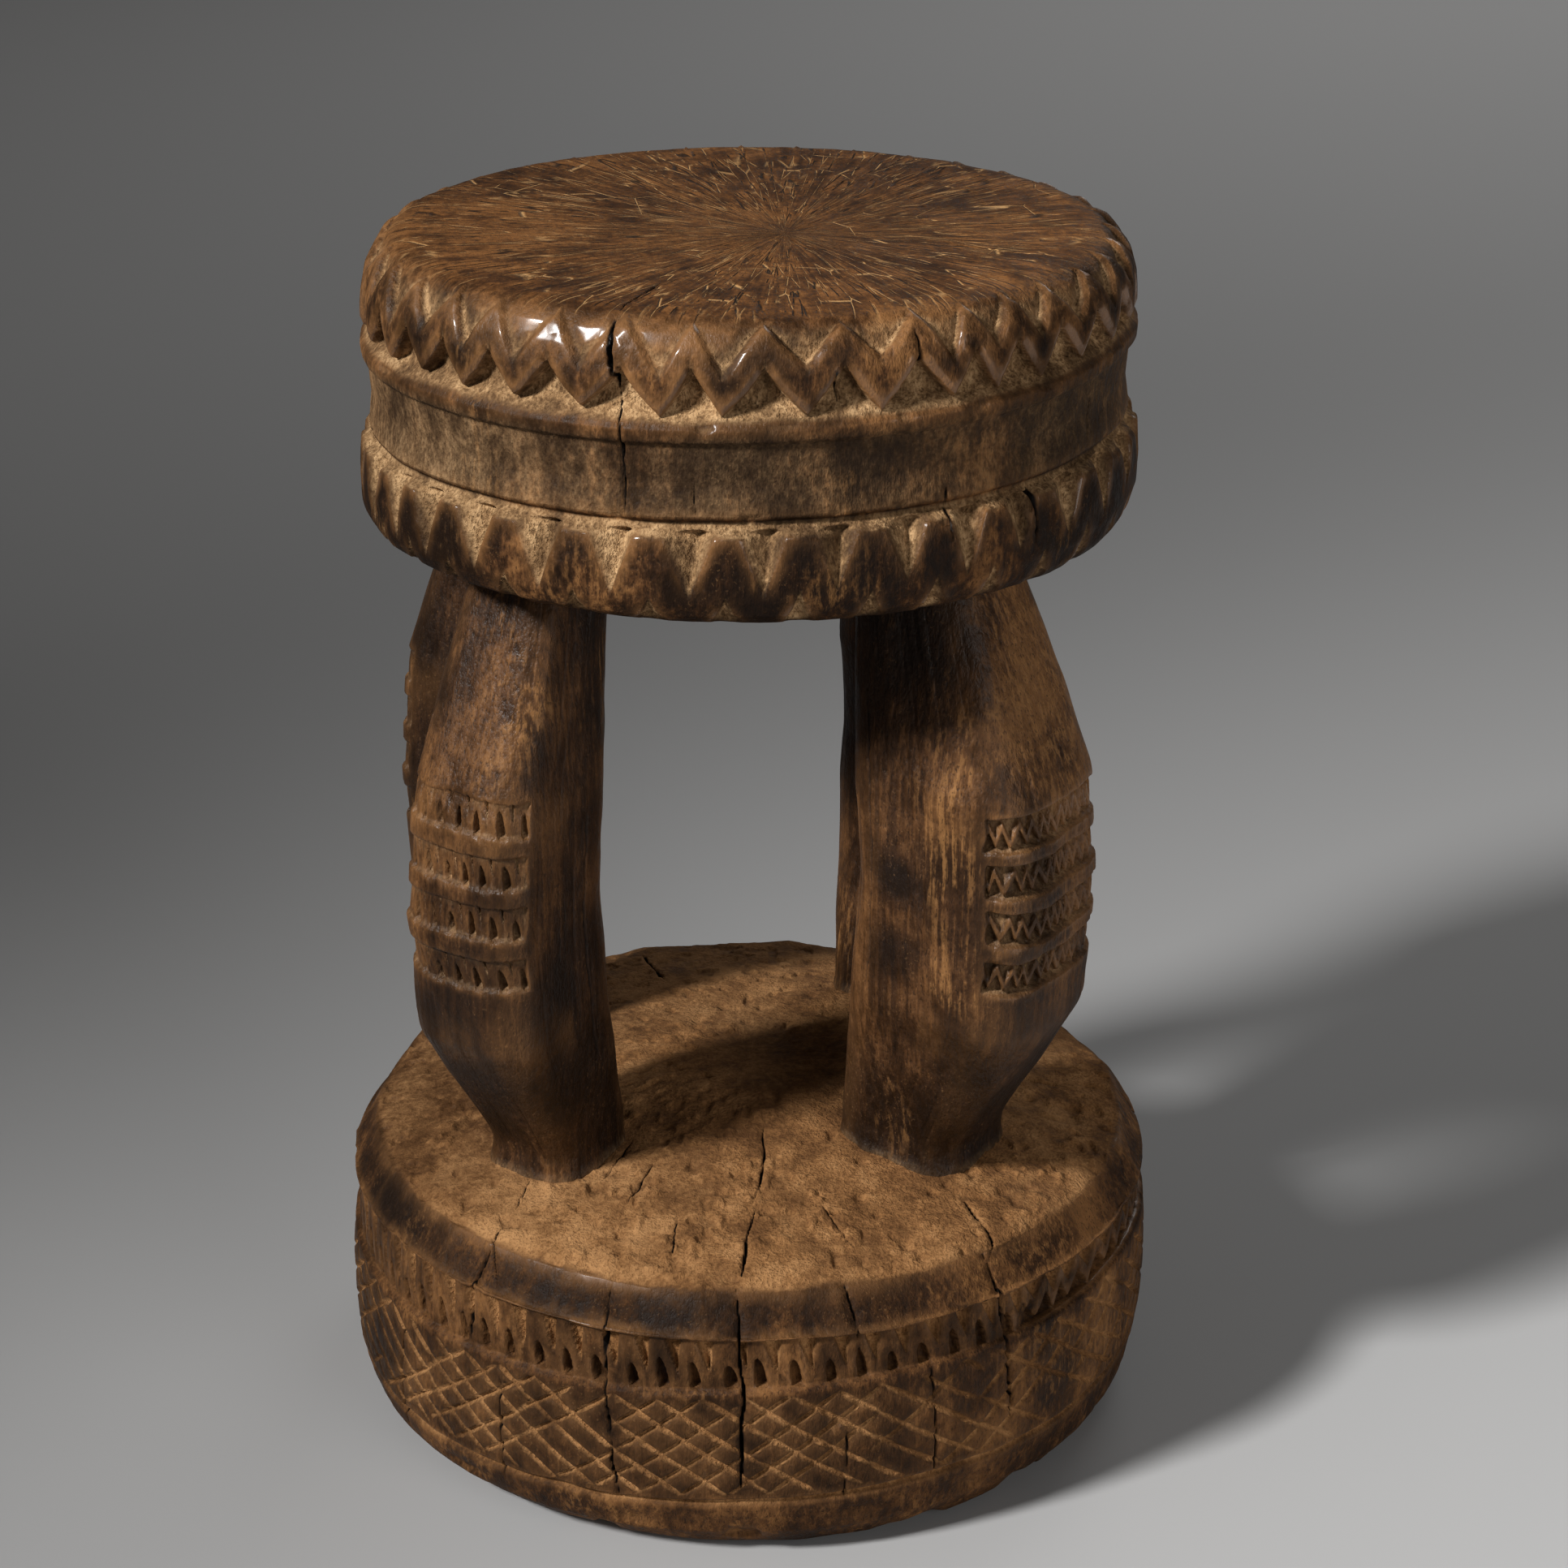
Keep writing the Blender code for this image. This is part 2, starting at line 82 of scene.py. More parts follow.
def rowsAlong(keys, softness):
    # keys go from the top centre to the bottom centre: name, radius, height, row spacing
    radius = np.array([key[1] for key in keys], float)
    height = np.array([key[2] for key in keys], float)
    reach = np.concatenate([[0.0], np.cumsum(np.hypot(np.diff(radius), np.diff(height)))])
    fine = np.arange(0.0, reach[-1] + 0.2, 0.25)
    kernel = np.exp(-0.5 * (np.arange(-20, 21) * 0.25 / softness) ** 2)
    kernel /= kernel.sum()
    soft = []
    for line in (radius, height):
        padded = np.pad(np.interp(fine, reach, line), 20, mode="reflect", reflect_type="odd")
        soft.append(np.convolve(padded, kernel, mode="valid"))
    along = [0.0]
    while along[-1] < reach[-1]:
        segment = int(np.searchsorted(reach, along[-1] + 1e-6)) - 1
        along.append(along[-1] + keys[max(segment, 0)][3] / detail ** 0.5)
    along[-1] = reach[-1]
    along = np.array(along)
    rows = {"along": along, "at": {key[0]: at for key, at in zip(keys, reach)}}
    rows["radius"] = np.interp(along, fine, soft[0])
    rows["height"] = np.interp(along, fine, soft[1])
    rows["radius"][[0, -1]] = 0.0
    rise, run = np.gradient(rows["height"], along), np.gradient(rows["radius"], along)
    length = np.hypot(rise, run) + 1e-9
    rows["outward"], rows["upward"] = -rise / length, run / length
    return rows


def ringGrid(piece, rows):
    # the bearing of every line of points, its direction, and the places of the points before they are carved
    bearing = (np.arange(piece["steps"]) * 360.0 / piece["steps"])[:, None] + 90.0
    side, front = np.sin(np.radians(bearing)), -np.cos(np.radians(bearing))
    radius, height = rows["radius"][None, :], rows["height"][None, :]
    px, py = side * radius, front * radius

    def flatLumps(size, seed, z=0.0):
        return lumps(px / size, py / size, z, seed)

    def ringLumps(count, seed, z=0.0):
        return lumps(side * count, front * count, z, seed)

    return bearing, side, front, radius, height, flatLumps, ringLumps


def toothCells(middles, bearing):
    # which tooth a bearing belongs to, and how far it is from its middle (0) to its edge (-1 or 1)
    ring = np.concatenate([middles[-1:] - 360.0, middles, middles[:1] + 360.0])
    edges = (ring[1:] + ring[:-1]) / 2.0
    turned = (bearing - edges[0]) % 360.0 + edges[0]
    tooth = np.clip(np.searchsorted(edges, turned, side="right") - 1, 0, len(middles) - 1)
    offset = turned - middles[tooth]
    half = np.where(offset > 0, edges[tooth + 1] - middles[tooth], middles[tooth] - edges[tooth])
    return tooth, offset / half


def teethRound(seen, count, shake, rng):
    # the teeth that can be seen, and the rest spaced round the back
    rest = count - len(seen)
    gap = (360.0 - (seen[-1] - seen[0])) / (rest + 1)
    back = [seen[-1] + gap * (k + 1) + rng.uniform(-shake, shake) for k in range(rest)]
    return np.array(list(seen) + back)


def zigzagRow(along, level, pitch, low, high, ribbon, seed):
    # a raised zigzag in a sunk row; level runs from 0 at the bottom of the row to 1 at its top
    shaken = along / pitch + 0.22 * lumps(along / pitch * 0.8, 0.0, 0.0, seed)
    wave = np.abs(2.0 * (shaken - np.floor(shaken)) - 1.0)
    number = np.floor(shaken)
    shiftUp = 0.06 * lumps(number * 1.7, 3.0, 0.0, seed + 1)
    middle = low + (high - low) * wave + shiftUp
    above = smooth(0.0, 0.16, level - middle - ribbon / 2)
    below = smooth(0.0, 0.14, middle - ribbon / 2 - level)
    return above, below


def slottedRow(along, level, pitch, slotHalf, tallest, notchHalf, seed):
    # a raised ribbon in a sunk row: round-topped holes cut up from below, slanting notches down from above
    shaken = along / pitch + 0.12 * lumps(along / pitch * 0.8, 0.0, 0.0, seed) + 0.25 * level
    number = np.floor(shaken)
    part = shaken - number
    tall = tallest + 0.10 * lumps(number * 1.7, 3.0, 0.0, seed + 1)
    slot = slotHalf * np.sqrt(unit(1.0 - (np.maximum(level, 0.0) / tall) ** 2.4))
    below = smooth(0.0, 0.07, slot - np.abs(part - 0.5)) * (level < tall)
    notch = notchHalf * unit((level - 0.28) / 0.72) ** 0.8
    above = smooth(0.0, 0.08, notch - np.minimum(part, 1.0 - part)) * (level > 0.28)
    return above, below


def crackCuts(cracks, bearing, rows):
    # every crack: half width, depth, then its bearings and its places along the profile
    cut = np.zeros((bearing.shape[0], len(rows["along"])))
    for number, (halfWidth, depth, nodes) in enumerate(cracks):
        at = np.array([node[1] for node in nodes])
        turn = np.array([node[0] for node in nodes])
        order = np.argsort(at)
        inside = (rows["along"] >= at.min()) & (rows["along"] <= at.max())
        place = rows["along"][inside]
        line = np.interp(place, at[order], turn[order])
        reach = np.maximum(rows["radius"][inside], 20.0)
        line = line + np.degrees(0.7 * lumps(place / 14.0, number, 0.0, 31) / reach)
        line = line + np.degrees(0.12 * lumps(place / 2.6, number, 0.0, 32) / reach)
        share = (place - at.min()) / (at.max() - at.min() + 1e-6)
        taper = np.clip(5.0 * share, 0.25, 1.0) * np.clip(5.0 * (1.0 - share), 0.25, 1.0)
        taper = taper * (0.8 + 0.3 * lumps(place / 5.0, number, 0.0, 33))
        offset = (bearing - line[None, :] + 180.0) % 360.0 - 180.0
        away = np.abs(np.radians(offset)) * reach[None, :]
        near = unit(1.0 - away / (halfWidth * taper[None, :])) ** 0.8
        cut[:, inside] = np.maximum(cut[:, inside], depth * taper[None, :] * near)
    return cut


def cracksOnSide(cracks, rows, onSide):
    # the cracks of a drum's side, with heights turned into places along the profile
    heights, along = -rows["height"][onSide], rows["along"][onSide]
    return [(halfWidth, depth, [(turn, float(np.interp(-z, heights, along))) for turn, z in nodes])
            for halfWidth, depth, nodes in cracks]


def strokeCuts(strokes, across, height, halfWidth):
    # straight grooves cut with a knife, each from one point of the unrolled band to another
    cut = np.zeros(across.shape)
    for startAcross, startHeight, endAcross, endHeight, depth in strokes:
        wide = (across > min(startAcross, endAcross) - 4) & (across < max(startAcross, endAcross) + 4)
        px, pz = across[wide] - startAcross, height[wide] - startHeight
        dx, dz = endAcross - startAcross, endHeight - startHeight
        length = math.hypot(dx, dz)
        share = unit((px * dx + pz * dz) / length ** 2)
        bow = 0.6 * np.sin(share * math.pi) * math.sin(startAcross)
        away = np.abs((px * dz - pz * dx) / length + bow)
        ends = np.hypot(px - share * dx, pz - share * dz)
        away = np.maximum(away, np.where((share <= 0.0) | (share >= 1.0), ends, 0.0))
        taper = np.clip(6.0 * share, 0.35, 1.0) * np.clip(6.0 * (1.0 - share), 0.35, 1.0)
        groove = depth * taper * unit(1.0 - away / (halfWidth * (0.6 + 0.4 * taper)))
        cut[wide] = np.maximum(cut[wide], groove)
    return cut


def spread(field, reachBearing, reachRow):
    # average of a field over its neighbours, round the drum and along its rows
    total = np.zeros_like(field)
    for step in range(-reachBearing, reachBearing + 1):
        total += np.roll(field, step, axis=0)
    total /= 2 * reachBearing + 1
    padded = np.pad(total, ((0, 0), (reachRow, reachRow)), mode="edge")
    sums = np.cumsum(np.pad(padded, ((0, 0), (1, 0))), axis=1)
    return (sums[:, 2 * reachRow + 1:] - sums[:, :-2 * reachRow - 1]) / (2 * reachRow + 1)


def turnBlank(name, radius, height, steps):
    # one line of points, extruded row by row and turned round the upright axis
    bpy.ops.object.select_all(action="DESELECT")
    bpy.ops.mesh.primitive_plane_add(size=0.01)
    blank = bpy.context.object
    blank.name = name
    bpy.ops.object.mode_set(mode="EDIT")
    bpy.ops.mesh.select_all(action="SELECT")
    bpy.ops.mesh.merge(type="CENTER")
    bpy.ops.transform.translate(value=(radius[0] * mm, 0.0, height[0] * mm))
    for row in range(1, len(radius)):
        move = ((radius[row] - radius[row - 1]) * mm, 0.0, (height[row] - height[row - 1]) * mm)
        bpy.ops.mesh.extrude_region_move(TRANSFORM_OT_translate={"value": move})
    bpy.ops.object.mode_set(mode="OBJECT")
    turn = blank.modifiers.new("turn", "SCREW")
    turn.axis = "Z"
    turn.angle = 2.0 * math.pi
    turn.steps = steps
    turn.render_steps = steps
    turn.use_merge_vertices = False
    bpy.ops.object.modifier_apply(modifier="turn")
    return blank


def capPoles(blank, poles, reaches):
    # the slivers round each pole give way to one flat cap
    mesh = blank.data
    places = np.empty(len(mesh.vertices) * 3, dtype=np.float32)
    mesh.vertices.foreach_get("co", places)
    places = places.reshape(-1, 3) / mm
    near = np.zeros(len(places), dtype=bool)
    for pole, reach in zip(poles, reaches):
        near |= np.linalg.norm(places - pole, axis=1) < reach
    bpy.ops.object.mode_set(mode="EDIT")
    bpy.ops.mesh.select_mode(type="VERT")
    bpy.ops.mesh.select_all(action="DESELECT")
    bpy.ops.object.mode_set(mode="OBJECT")
    mesh.vertices.foreach_set("select", near)
    bpy.ops.object.mode_set(mode="EDIT")
    bpy.ops.mesh.delete(type="VERT")
    bpy.ops.mesh.select_all(action="SELECT")
    bpy.ops.mesh.fill_holes(sides=0)
    bpy.ops.mesh.quads_convert_to_tris()
    bpy.ops.mesh.normals_make_consistent(inside=False)
    bpy.ops.object.mode_set(mode="OBJECT")


def carveBlank(blank, points, fields, triangles, caps=None):
    # puts every point of the turned grid in its carved place, thins the mesh and caps the poles
    mesh = blank.data
    if len(mesh.vertices) != points.shape[0] * points.shape[1]:
        raise ValueError(f"{blank.name}: {len(mesh.vertices)} points, not {points.shape[:2]}")
    mesh.vertices.foreach_set("co", (points * mm).astype(np.float32).ravel())
    for label, field in fields.items():
        attribute = mesh.attributes.new(label, "FLOAT", "POINT")
        attribute.data.foreach_set("value", np.ascontiguousarray(field, dtype=np.float32).ravel())
    mesh.update()
    bpy.ops.object.select_all(action="DESELECT")
    bpy.context.view_layer.objects.active = blank
    blank.select_set(True)
    bpy.ops.object.mode_set(mode="EDIT")
    bpy.ops.mesh.select_all(action="SELECT")
    bpy.ops.mesh.remove_doubles(threshold=1e-6)
    bpy.ops.mesh.normals_make_consistent(inside=False)
    bpy.ops.object.mode_set(mode="OBJECT")
    faces = sum(len(face.vertices) - 2 for face in mesh.polygons)
    if faces > triangles:
        thin = blank.modifiers.new("thin", "DECIMATE")
        thin.ratio = triangles / faces
        bpy.ops.object.modifier_apply(modifier="thin")
    if caps:
        capPoles(blank, [points[:, row].mean(axis=0) for row in (0, -1)], caps)
    bpy.ops.object.shade_smooth()
    print(blank.name, "carved,", sum(len(f.vertices) - 2 for f in blank.data.polygons), "triangles")


def edgesOf(relief, reachBearing, reachRow):
    # proud edges that hands have worn, and inner corners that hold dirt
    level = spread(relief, reachBearing, reachRow)
    return unit((level - relief) / 1.1), unit((relief - level) / 1.1)


# materials

def feed(tree, socket, value):
    # numbers and vectors are set on the socket, anything else is linked to it
    if isinstance(value, (int, float, tuple)):
        socket.default_value = value
    elif value is not None:
        tree.links.new(value, socket)


def mathNode(tree, operation, first, second=None, clamp=False):
    node = tree.nodes.new("ShaderNodeMath")
    node.operation = operation
    node.use_clamp = clamp
    for socket, value in zip(node.inputs, (first, second)):
        feed(tree, socket, value)
    return node.outputs[0]


def times(tree, first, second, clamp=False):
    return mathNode(tree, "MULTIPLY", first, second, clamp)


def plus(tree, first, second):
    return mathNode(tree, "ADD", first, second)


def vectorNode(tree, operation, first, second=None):
    node = tree.nodes.new("ShaderNodeVectorMath")
    node.operation = operation
    for socket, value in zip(node.inputs, (first, second)):
        feed(tree, socket, value)
    return node.outputs["Value" if operation == "LENGTH" else "Vector"]


def mixColour(tree, share, first, second, blend="MIX"):
    node = tree.nodes.new("ShaderNodeMix")
    node.data_type = "RGBA"
    node.blend_type = blend
    for name, value in (("Factor_Float", share), ("A_Color", first), ("B_Color", second)):
        socket = next(s for s in node.inputs if s.identifier == name)
        feed(tree, socket, (*value, 1.0) if isinstance(value, tuple) else value)
    return next(s for s in node.outputs if s.identifier == "Result_Color")


def rangeNode(tree, value, low, high, newLow=0.0, newHigh=1.0):
    node = tree.nodes.new("ShaderNodeMapRange")
    node.interpolation_type = "SMOOTHSTEP"
    tree.links.new(value, node.inputs["Value"])
    for name, number in (("From Min", low), ("From Max", high), ("To Min", newLow), ("To Max", newHigh)):
        node.inputs[name].default_value = number
    return node.outputs["Result"]


def stretched(tree, vector, squeeze, shift):
    # a squeeze below 1 draws the pattern out along z
    node = tree.nodes.new("ShaderNodeMapping")
    node.inputs["Scale"].default_value = (1.0, 1.0, squeeze)
    node.inputs["Location"].default_value = shift
    tree.links.new(vector, node.inputs["Vector"])
    return node.outputs["Vector"]


def noiseNode(tree, vector, scale, squeeze, depth, rough, shift=(0.0, 0.0, 0.0)):
    noise = tree.nodes.new("ShaderNodeTexNoise")
    for name, number in (("Scale", scale), ("Detail", depth), ("Roughness", rough)):
        noise.inputs[name].default_value = number
    tree.links.new(stretched(tree, vector, squeeze, shift), noise.inputs["Vector"])
    return noise.outputs["Fac"]


def rampNode(tree, share, stops):
    node = tree.nodes.new("ShaderNodeValToRGB")
    ramp = node.color_ramp
    while len(ramp.elements) < len(stops):
        ramp.elements.new(0.5)
    for element, (position, colour) in zip(ramp.elements, stops):
        element.position = position
        element.color = (*colour, 1.0)
    tree.links.new(share, node.inputs["Fac"])
    return node.outputs["Color"]


def blendOf(tree, *parts):
    # weighted sum of several noises
    total = None
    for value, weight in parts:
        scaled = times(tree, value, weight)
        total = scaled if total is None else plus(tree, total, scaled)
    return total


def raysFrom(tree, place, pith):
    # coordinates that run out from the pith: a direction on the ring, and the distance in z
    away = vectorNode(tree, "SUBTRACT", place, (pith[0] * mm, pith[1] * mm, 0.0))
    away = vectorNode(tree, "MULTIPLY", away, (1.0, 1.0, 0.0))
    lift = tree.nodes.new("ShaderNodeCombineXYZ")
    tree.links.new(times(tree, vectorNode(tree, "LENGTH", away), 10.0), lift.inputs["Z"])
    return vectorNode(tree, "ADD", vectorNode(tree, "NORMALIZE", away), lift.outputs[0])


def webLines(tree, vector, scale, squeeze, shift, width):
    # thin straight lines along the borders of stretched cells
    cells = tree.nodes.new("ShaderNodeTexVoronoi")
    cells.feature = "DISTANCE_TO_EDGE"
    cells.inputs["Scale"].default_value = scale
    tree.links.new(stretched(tree, vector, squeeze, shift), cells.inputs["Vector"])
    return rangeNode(tree, cells.outputs["Distance"], 0.0, width, 1.0, 0.0)


def carvedWood(name, look):
    material = bpy.data.materials.new(name)
    material.use_nodes = True
    tree = material.node_tree
    shader = tree.nodes["Principled BSDF"]
    place = tree.nodes.new("ShaderNodeTexCoord").outputs["Object"]

    def field(label):
        node = tree.nodes.new("ShaderNodeAttribute")
        node.attribute_name = label
        return node.outputs["Fac"]

    dust, wear, crack, top, stainAndPaintedLight = field("dust"), field("wear"), field("crack"), field("top"), field("stainAndPaintedLight")
    patches = noiseNode(tree, place, 15.0, 0.6, 3.0, 0.55, (7.3, 2.0, 0.9))
    mottle = noiseNode(tree, place, 60.0, 0.6, 4.0, 0.60, (1.3, 9.0, 4.9))
    specks = noiseNode(tree, place, 420.0, 0.6, 3.0, 0.62, (5.3, 1.1, 2.9))
    pores = noiseNode(tree, place, 1400.0, 0.35, 1.0, 0.6, (0.3, 4.1, 6.6))
    streaks = noiseNode(tree, place, 520.0, 0.05, 3.0, 0.62, (3.1, 0.4, 1.7))
    blots = noiseNode(tree, place, 27.0, 0.7, 5.0, 0.6, (4.4, 6.2, 8.1))
    grit = noiseNode(tree, place, 950.0, 0.8, 2.0, 0.7, (2.2, 7.4, 3.8))

    # old stain: near black where it is thick, warm brown where it has rubbed thin
    depth = blendOf(tree, *zip((patches, mottle, specks, streaks), look["grain"]))
    # this per-point field shifts the stain lighter or darker: partly the wood's own tone, partly painted
    # light and painted shade on lit and shaded sides; it also widens the rubbed golden patches
    depth = plus(tree, depth, times(tree, stainAndPaintedLight, 0.075))
    tone = rampNode(tree, rangeNode(tree, depth, *look["stainRange"]), look["stain"])
    rubbed = rangeNode(tree, plus(tree, blots, times(tree, stainAndPaintedLight, 0.10)), 0.50, 0.66)
    golden = blendOf(tree, *zip((streaks, specks), look["goldGrain"]))
    golden = times(tree, rangeNode(tree, golden, 0.49, 0.60), rubbed)
    tone = mixColour(tree, times(tree, golden, look["goldShare"]), tone, look["gold"])
    flecks = rangeNode(tree, mottle, 0.38, 0.62, 0.05, 0.4)
    flecks = times(tree, rangeNode(tree, grit, 0.58, 0.72), flecks)
    tone = mixColour(tree, flecks, tone, look["fleck"])
    tone = mixColour(tree, rangeNode(tree, pores, 0.56, 0.70, 0.0, 0.6), tone, look["black"])
    worn = times(tree, wear, rangeNode(tree, mottle, 0.34, 0.6, 0.3, 1.0))
    tone = mixColour(tree, times(tree, worn, look["wornShare"], True), tone, look["worn"])

    # the top: worn end grain, with fine pale scratches and dark checks running out from the pith
    ways = raysFrom(tree, place, look["pith"])
    broad = noiseNode(tree, ways, 9.0, 0.8, 3.0, 0.55)
    fibres = noiseNode(tree, ways, 40.0, 0.07, 3.0, 0.6, (2.0, 0.5, 3.0))
    hairs = webLines(tree, ways, 26.0, 0.10, (7.0, 2.5, 1.3), 0.075)
    rays = webLines(tree, ways, 11.0, 0.22, (5.0, 1.5, 0.7), 0.036)
    crossings = webLines(tree, place, 38.0, 1.0, (0.3, 0.7, 0.0), 0.014)
    splits = webLines(tree, ways, 22.0, 0.10, (2.0, 0.5, 3.0), 0.090)
    clusters = noiseNode(tree, ways, 7.0, 0.6, 4.0, 0.65, (1.0, 8.5, 4.7))
    fibreShare = look["fibres"]
    topDepth = blendOf(tree, (broad, 0.36), (fibres, fibreShare), (patches, 0.26),
                       (specks, 0.38 - fibreShare))
    # the same field shifts the top's stain too: the wood's tone and painted light together
    topDepth = plus(tree, topDepth, times(tree, stainAndPaintedLight, 0.06))
    topTone = rampNode(tree, rangeNode(tree, topDepth, *look["topRange"]), look["topStain"])
    fine = times(tree, hairs, rangeNode(tree, clusters, 0.46, 0.56, 0.0, 0.6))
    fine = times(tree, fine, rangeNode(tree, mottle, 0.42, 0.56))
    bold = times(tree, rays, rangeNode(tree, clusters, 0.52, 0.46))
    bold = times(tree, bold, rangeNode(tree, mottle, 0.56, 0.46))
    stray = times(tree, crossings, rangeNode(tree, blots, 0.54, 0.62))
    scratches = mathNode(tree, "MAXIMUM", mathNode(tree, "MAXIMUM", fine, bold), stray)
    scratches = times(tree, scratches, look["rayShare"])
    topTone = mixColour(tree, scratches, topTone, look["scratch"])
    checks = times(tree, splits, rangeNode(tree, broad, 0.52, 0.60))
    checks = times(tree, checks, look["rayShare"])
    topTone = mixColour(tree, checks, topTone, look["black"])
    tone = mixColour(tree, top, tone, topTone)

    # dry dust lies in the cuts, thicker in some than in others
    dustTone = blendOf(tree, *zip((specks, grit, mottle, patches), look["dustGrain"]))
    dustTone = rampNode(tree, rangeNode(tree, dustTone, *look["dustRange"]), look["dust"])
    lying = times(tree, dust, rangeNode(tree, mottle, 0.34, 0.56, look["dustLeast"], 1.0))
    lying = times(tree, lying, rangeNode(tree, grit, 0.32, 0.5, 0.75, 1.0), True)
    tone = mixColour(tree, lying, tone, dustTone)
    tone = mixColour(tree, rangeNode(tree, crack, 0.08, 0.6), tone, (0.004, 0.0022, 0.0012))
    tree.links.new(tone, shader.inputs["Base Color"])

    gloss = blendOf(tree, (mottle, 0.5), (specks, 0.5))
    gloss = rangeNode(tree, gloss, 0.35, 0.65, look["roughLeast"], look["roughMost"])
    gloss = mathNode(tree, "SUBTRACT", gloss, times(tree, worn, look["polish"]))
    gloss = plus(tree, gloss, times(tree, lying, 0.4))
    gloss = plus(tree, gloss, times(tree, crack, 0.5))
    tree.links.new(rangeNode(tree, gloss, 0.0, 1.0, 0.05, 0.98), shader.inputs["Roughness"])
    shader.inputs["Specular IOR Level"].default_value = look["shine"]

    # hand polish on the worn edges
    polished = mathNode(tree, "SUBTRACT", rangeNode(tree, worn, 0.35, 0.8, 0.0, look["coat"]), lying, True)
    tree.links.new(polished, shader.inputs["Coat Weight"])
    shader.inputs["Coat Roughness"].default_value = 0.20

    # bump: fibres and pores on the sides, scratches on the top, grit where dust lies
    level = blendOf(tree, (specks, 0.8), (streaks, 0.25), (pores, -0.30), (mottle, 0.30))
    gritty = look["grit"]
    crumbly = blendOf(tree, (specks, 0.8 * gritty), (grit, 0.9 * gritty), (mottle, 1.2 - gritty))
    level = plus(tree, level, times(tree, lying, crumbly))
    scored = times(tree, top, plus(tree, scratches, checks))
    level = mathNode(tree, "SUBTRACT", level, scored)
    bump = tree.nodes.new("ShaderNodeBump")
    bump.inputs["Strength"].default_value = look["bump"]
    bump.inputs["Distance"].default_value = 0.0010
    tree.links.new(level, bump.inputs["Height"])
    tree.links.new(bump.outputs["Normal"], shader.inputs["Normal"])
    return material


woodLook = {
    "black": (0.007, 0.0032, 0.0014),
    "stain": [(0.0, (0.010, 0.0044, 0.0018)), (0.36, (0.036, 0.0148, 0.0050)),
              (0.66, (0.092, 0.0390, 0.0130)), (1.0, (0.200, 0.0900, 0.0300))],
    "stainRange": (0.41, 0.60),
    "topStain": [(0.0, (0.019, 0.0070, 0.0019)), (0.38, (0.055, 0.0208, 0.0054)),
                 (0.68, (0.105, 0.0410, 0.0108)), (1.0, (0.200, 0.0820, 0.0230))],
    "topRange": (0.385, 0.63),
    "fibres": 0.18,
    "grain": (0.38, 0.30, 0.22, 0.10),
    "goldGrain": (0.55, 0.45),
    "dustGrain": (0.35, 0.25, 0.40, 0.0),
    "grit": 1.0,
    "dust": [(0.0, (0.120, 0.0620, 0.0260)), (0.45, (0.280, 0.1620, 0.0740)), (1.0, (0.540, 0.3450, 0.1750))],
    "dustRange": (0.34, 0.68),
    "gold": (0.330, 0.1600, 0.0540),
    "fleck": (0.200, 0.1020, 0.0400),
    "scratch": (0.480, 0.2700, 0.1080),
    "worn": (0.240, 0.1120, 0.0400),
    "dustLeast": 0.50,
    "goldShare": 0.28,
    "wornShare": 0.65,
    "rayShare": 0.90,
    "pith": (12.0, -15.0),
    "roughLeast": 0.48,
    "roughMost": 0.70,
    "polish": 0.20,
    "shine": 0.11,
    "coat": 0.75,
    "bump": 0.8,
}
seatWood = carvedWood("seat_wood", woodLook)
baseWood = carvedWood("base_wood", dict(
    woodLook, rayShare=0.0, pith=(0.0, 0.0), roughLeast=0.50, roughMost=0.74, stainRange=(0.37, 0.65),
    topRange=(0.36, 0.64), dustRange=(0.34, 0.66), dustLeast=0.60, coat=0.4, fibres=0.0,
    dustGrain=(0.16, 0.16, 0.40, 0.28), grit=0.6,
    dust=[(0.0, (0.110, 0.0470, 0.0160)), (0.45, (0.240, 0.1130, 0.0410)), (1.0, (0.430, 0.2250, 0.0920))],
    topStain=[(0.0, (0.045, 0.0190, 0.0065)), (0.40, (0.095, 0.0430, 0.0155)),
              (0.70, (0.160, 0.0780, 0.0300)), (1.0, (0.260, 0.1380, 0.0560))]))
legWood = carvedWood("leg_wood", dict(
    woodLook, goldShare=0.45, coat=0.15, roughLeast=0.42, roughMost=0.60, shine=0.20,
    stainRange=(0.38, 0.645), grain=(0.44, 0.26, 0.10, 0.20), goldGrain=(0.75, 0.25)))
print("materials made")


# the seat drum

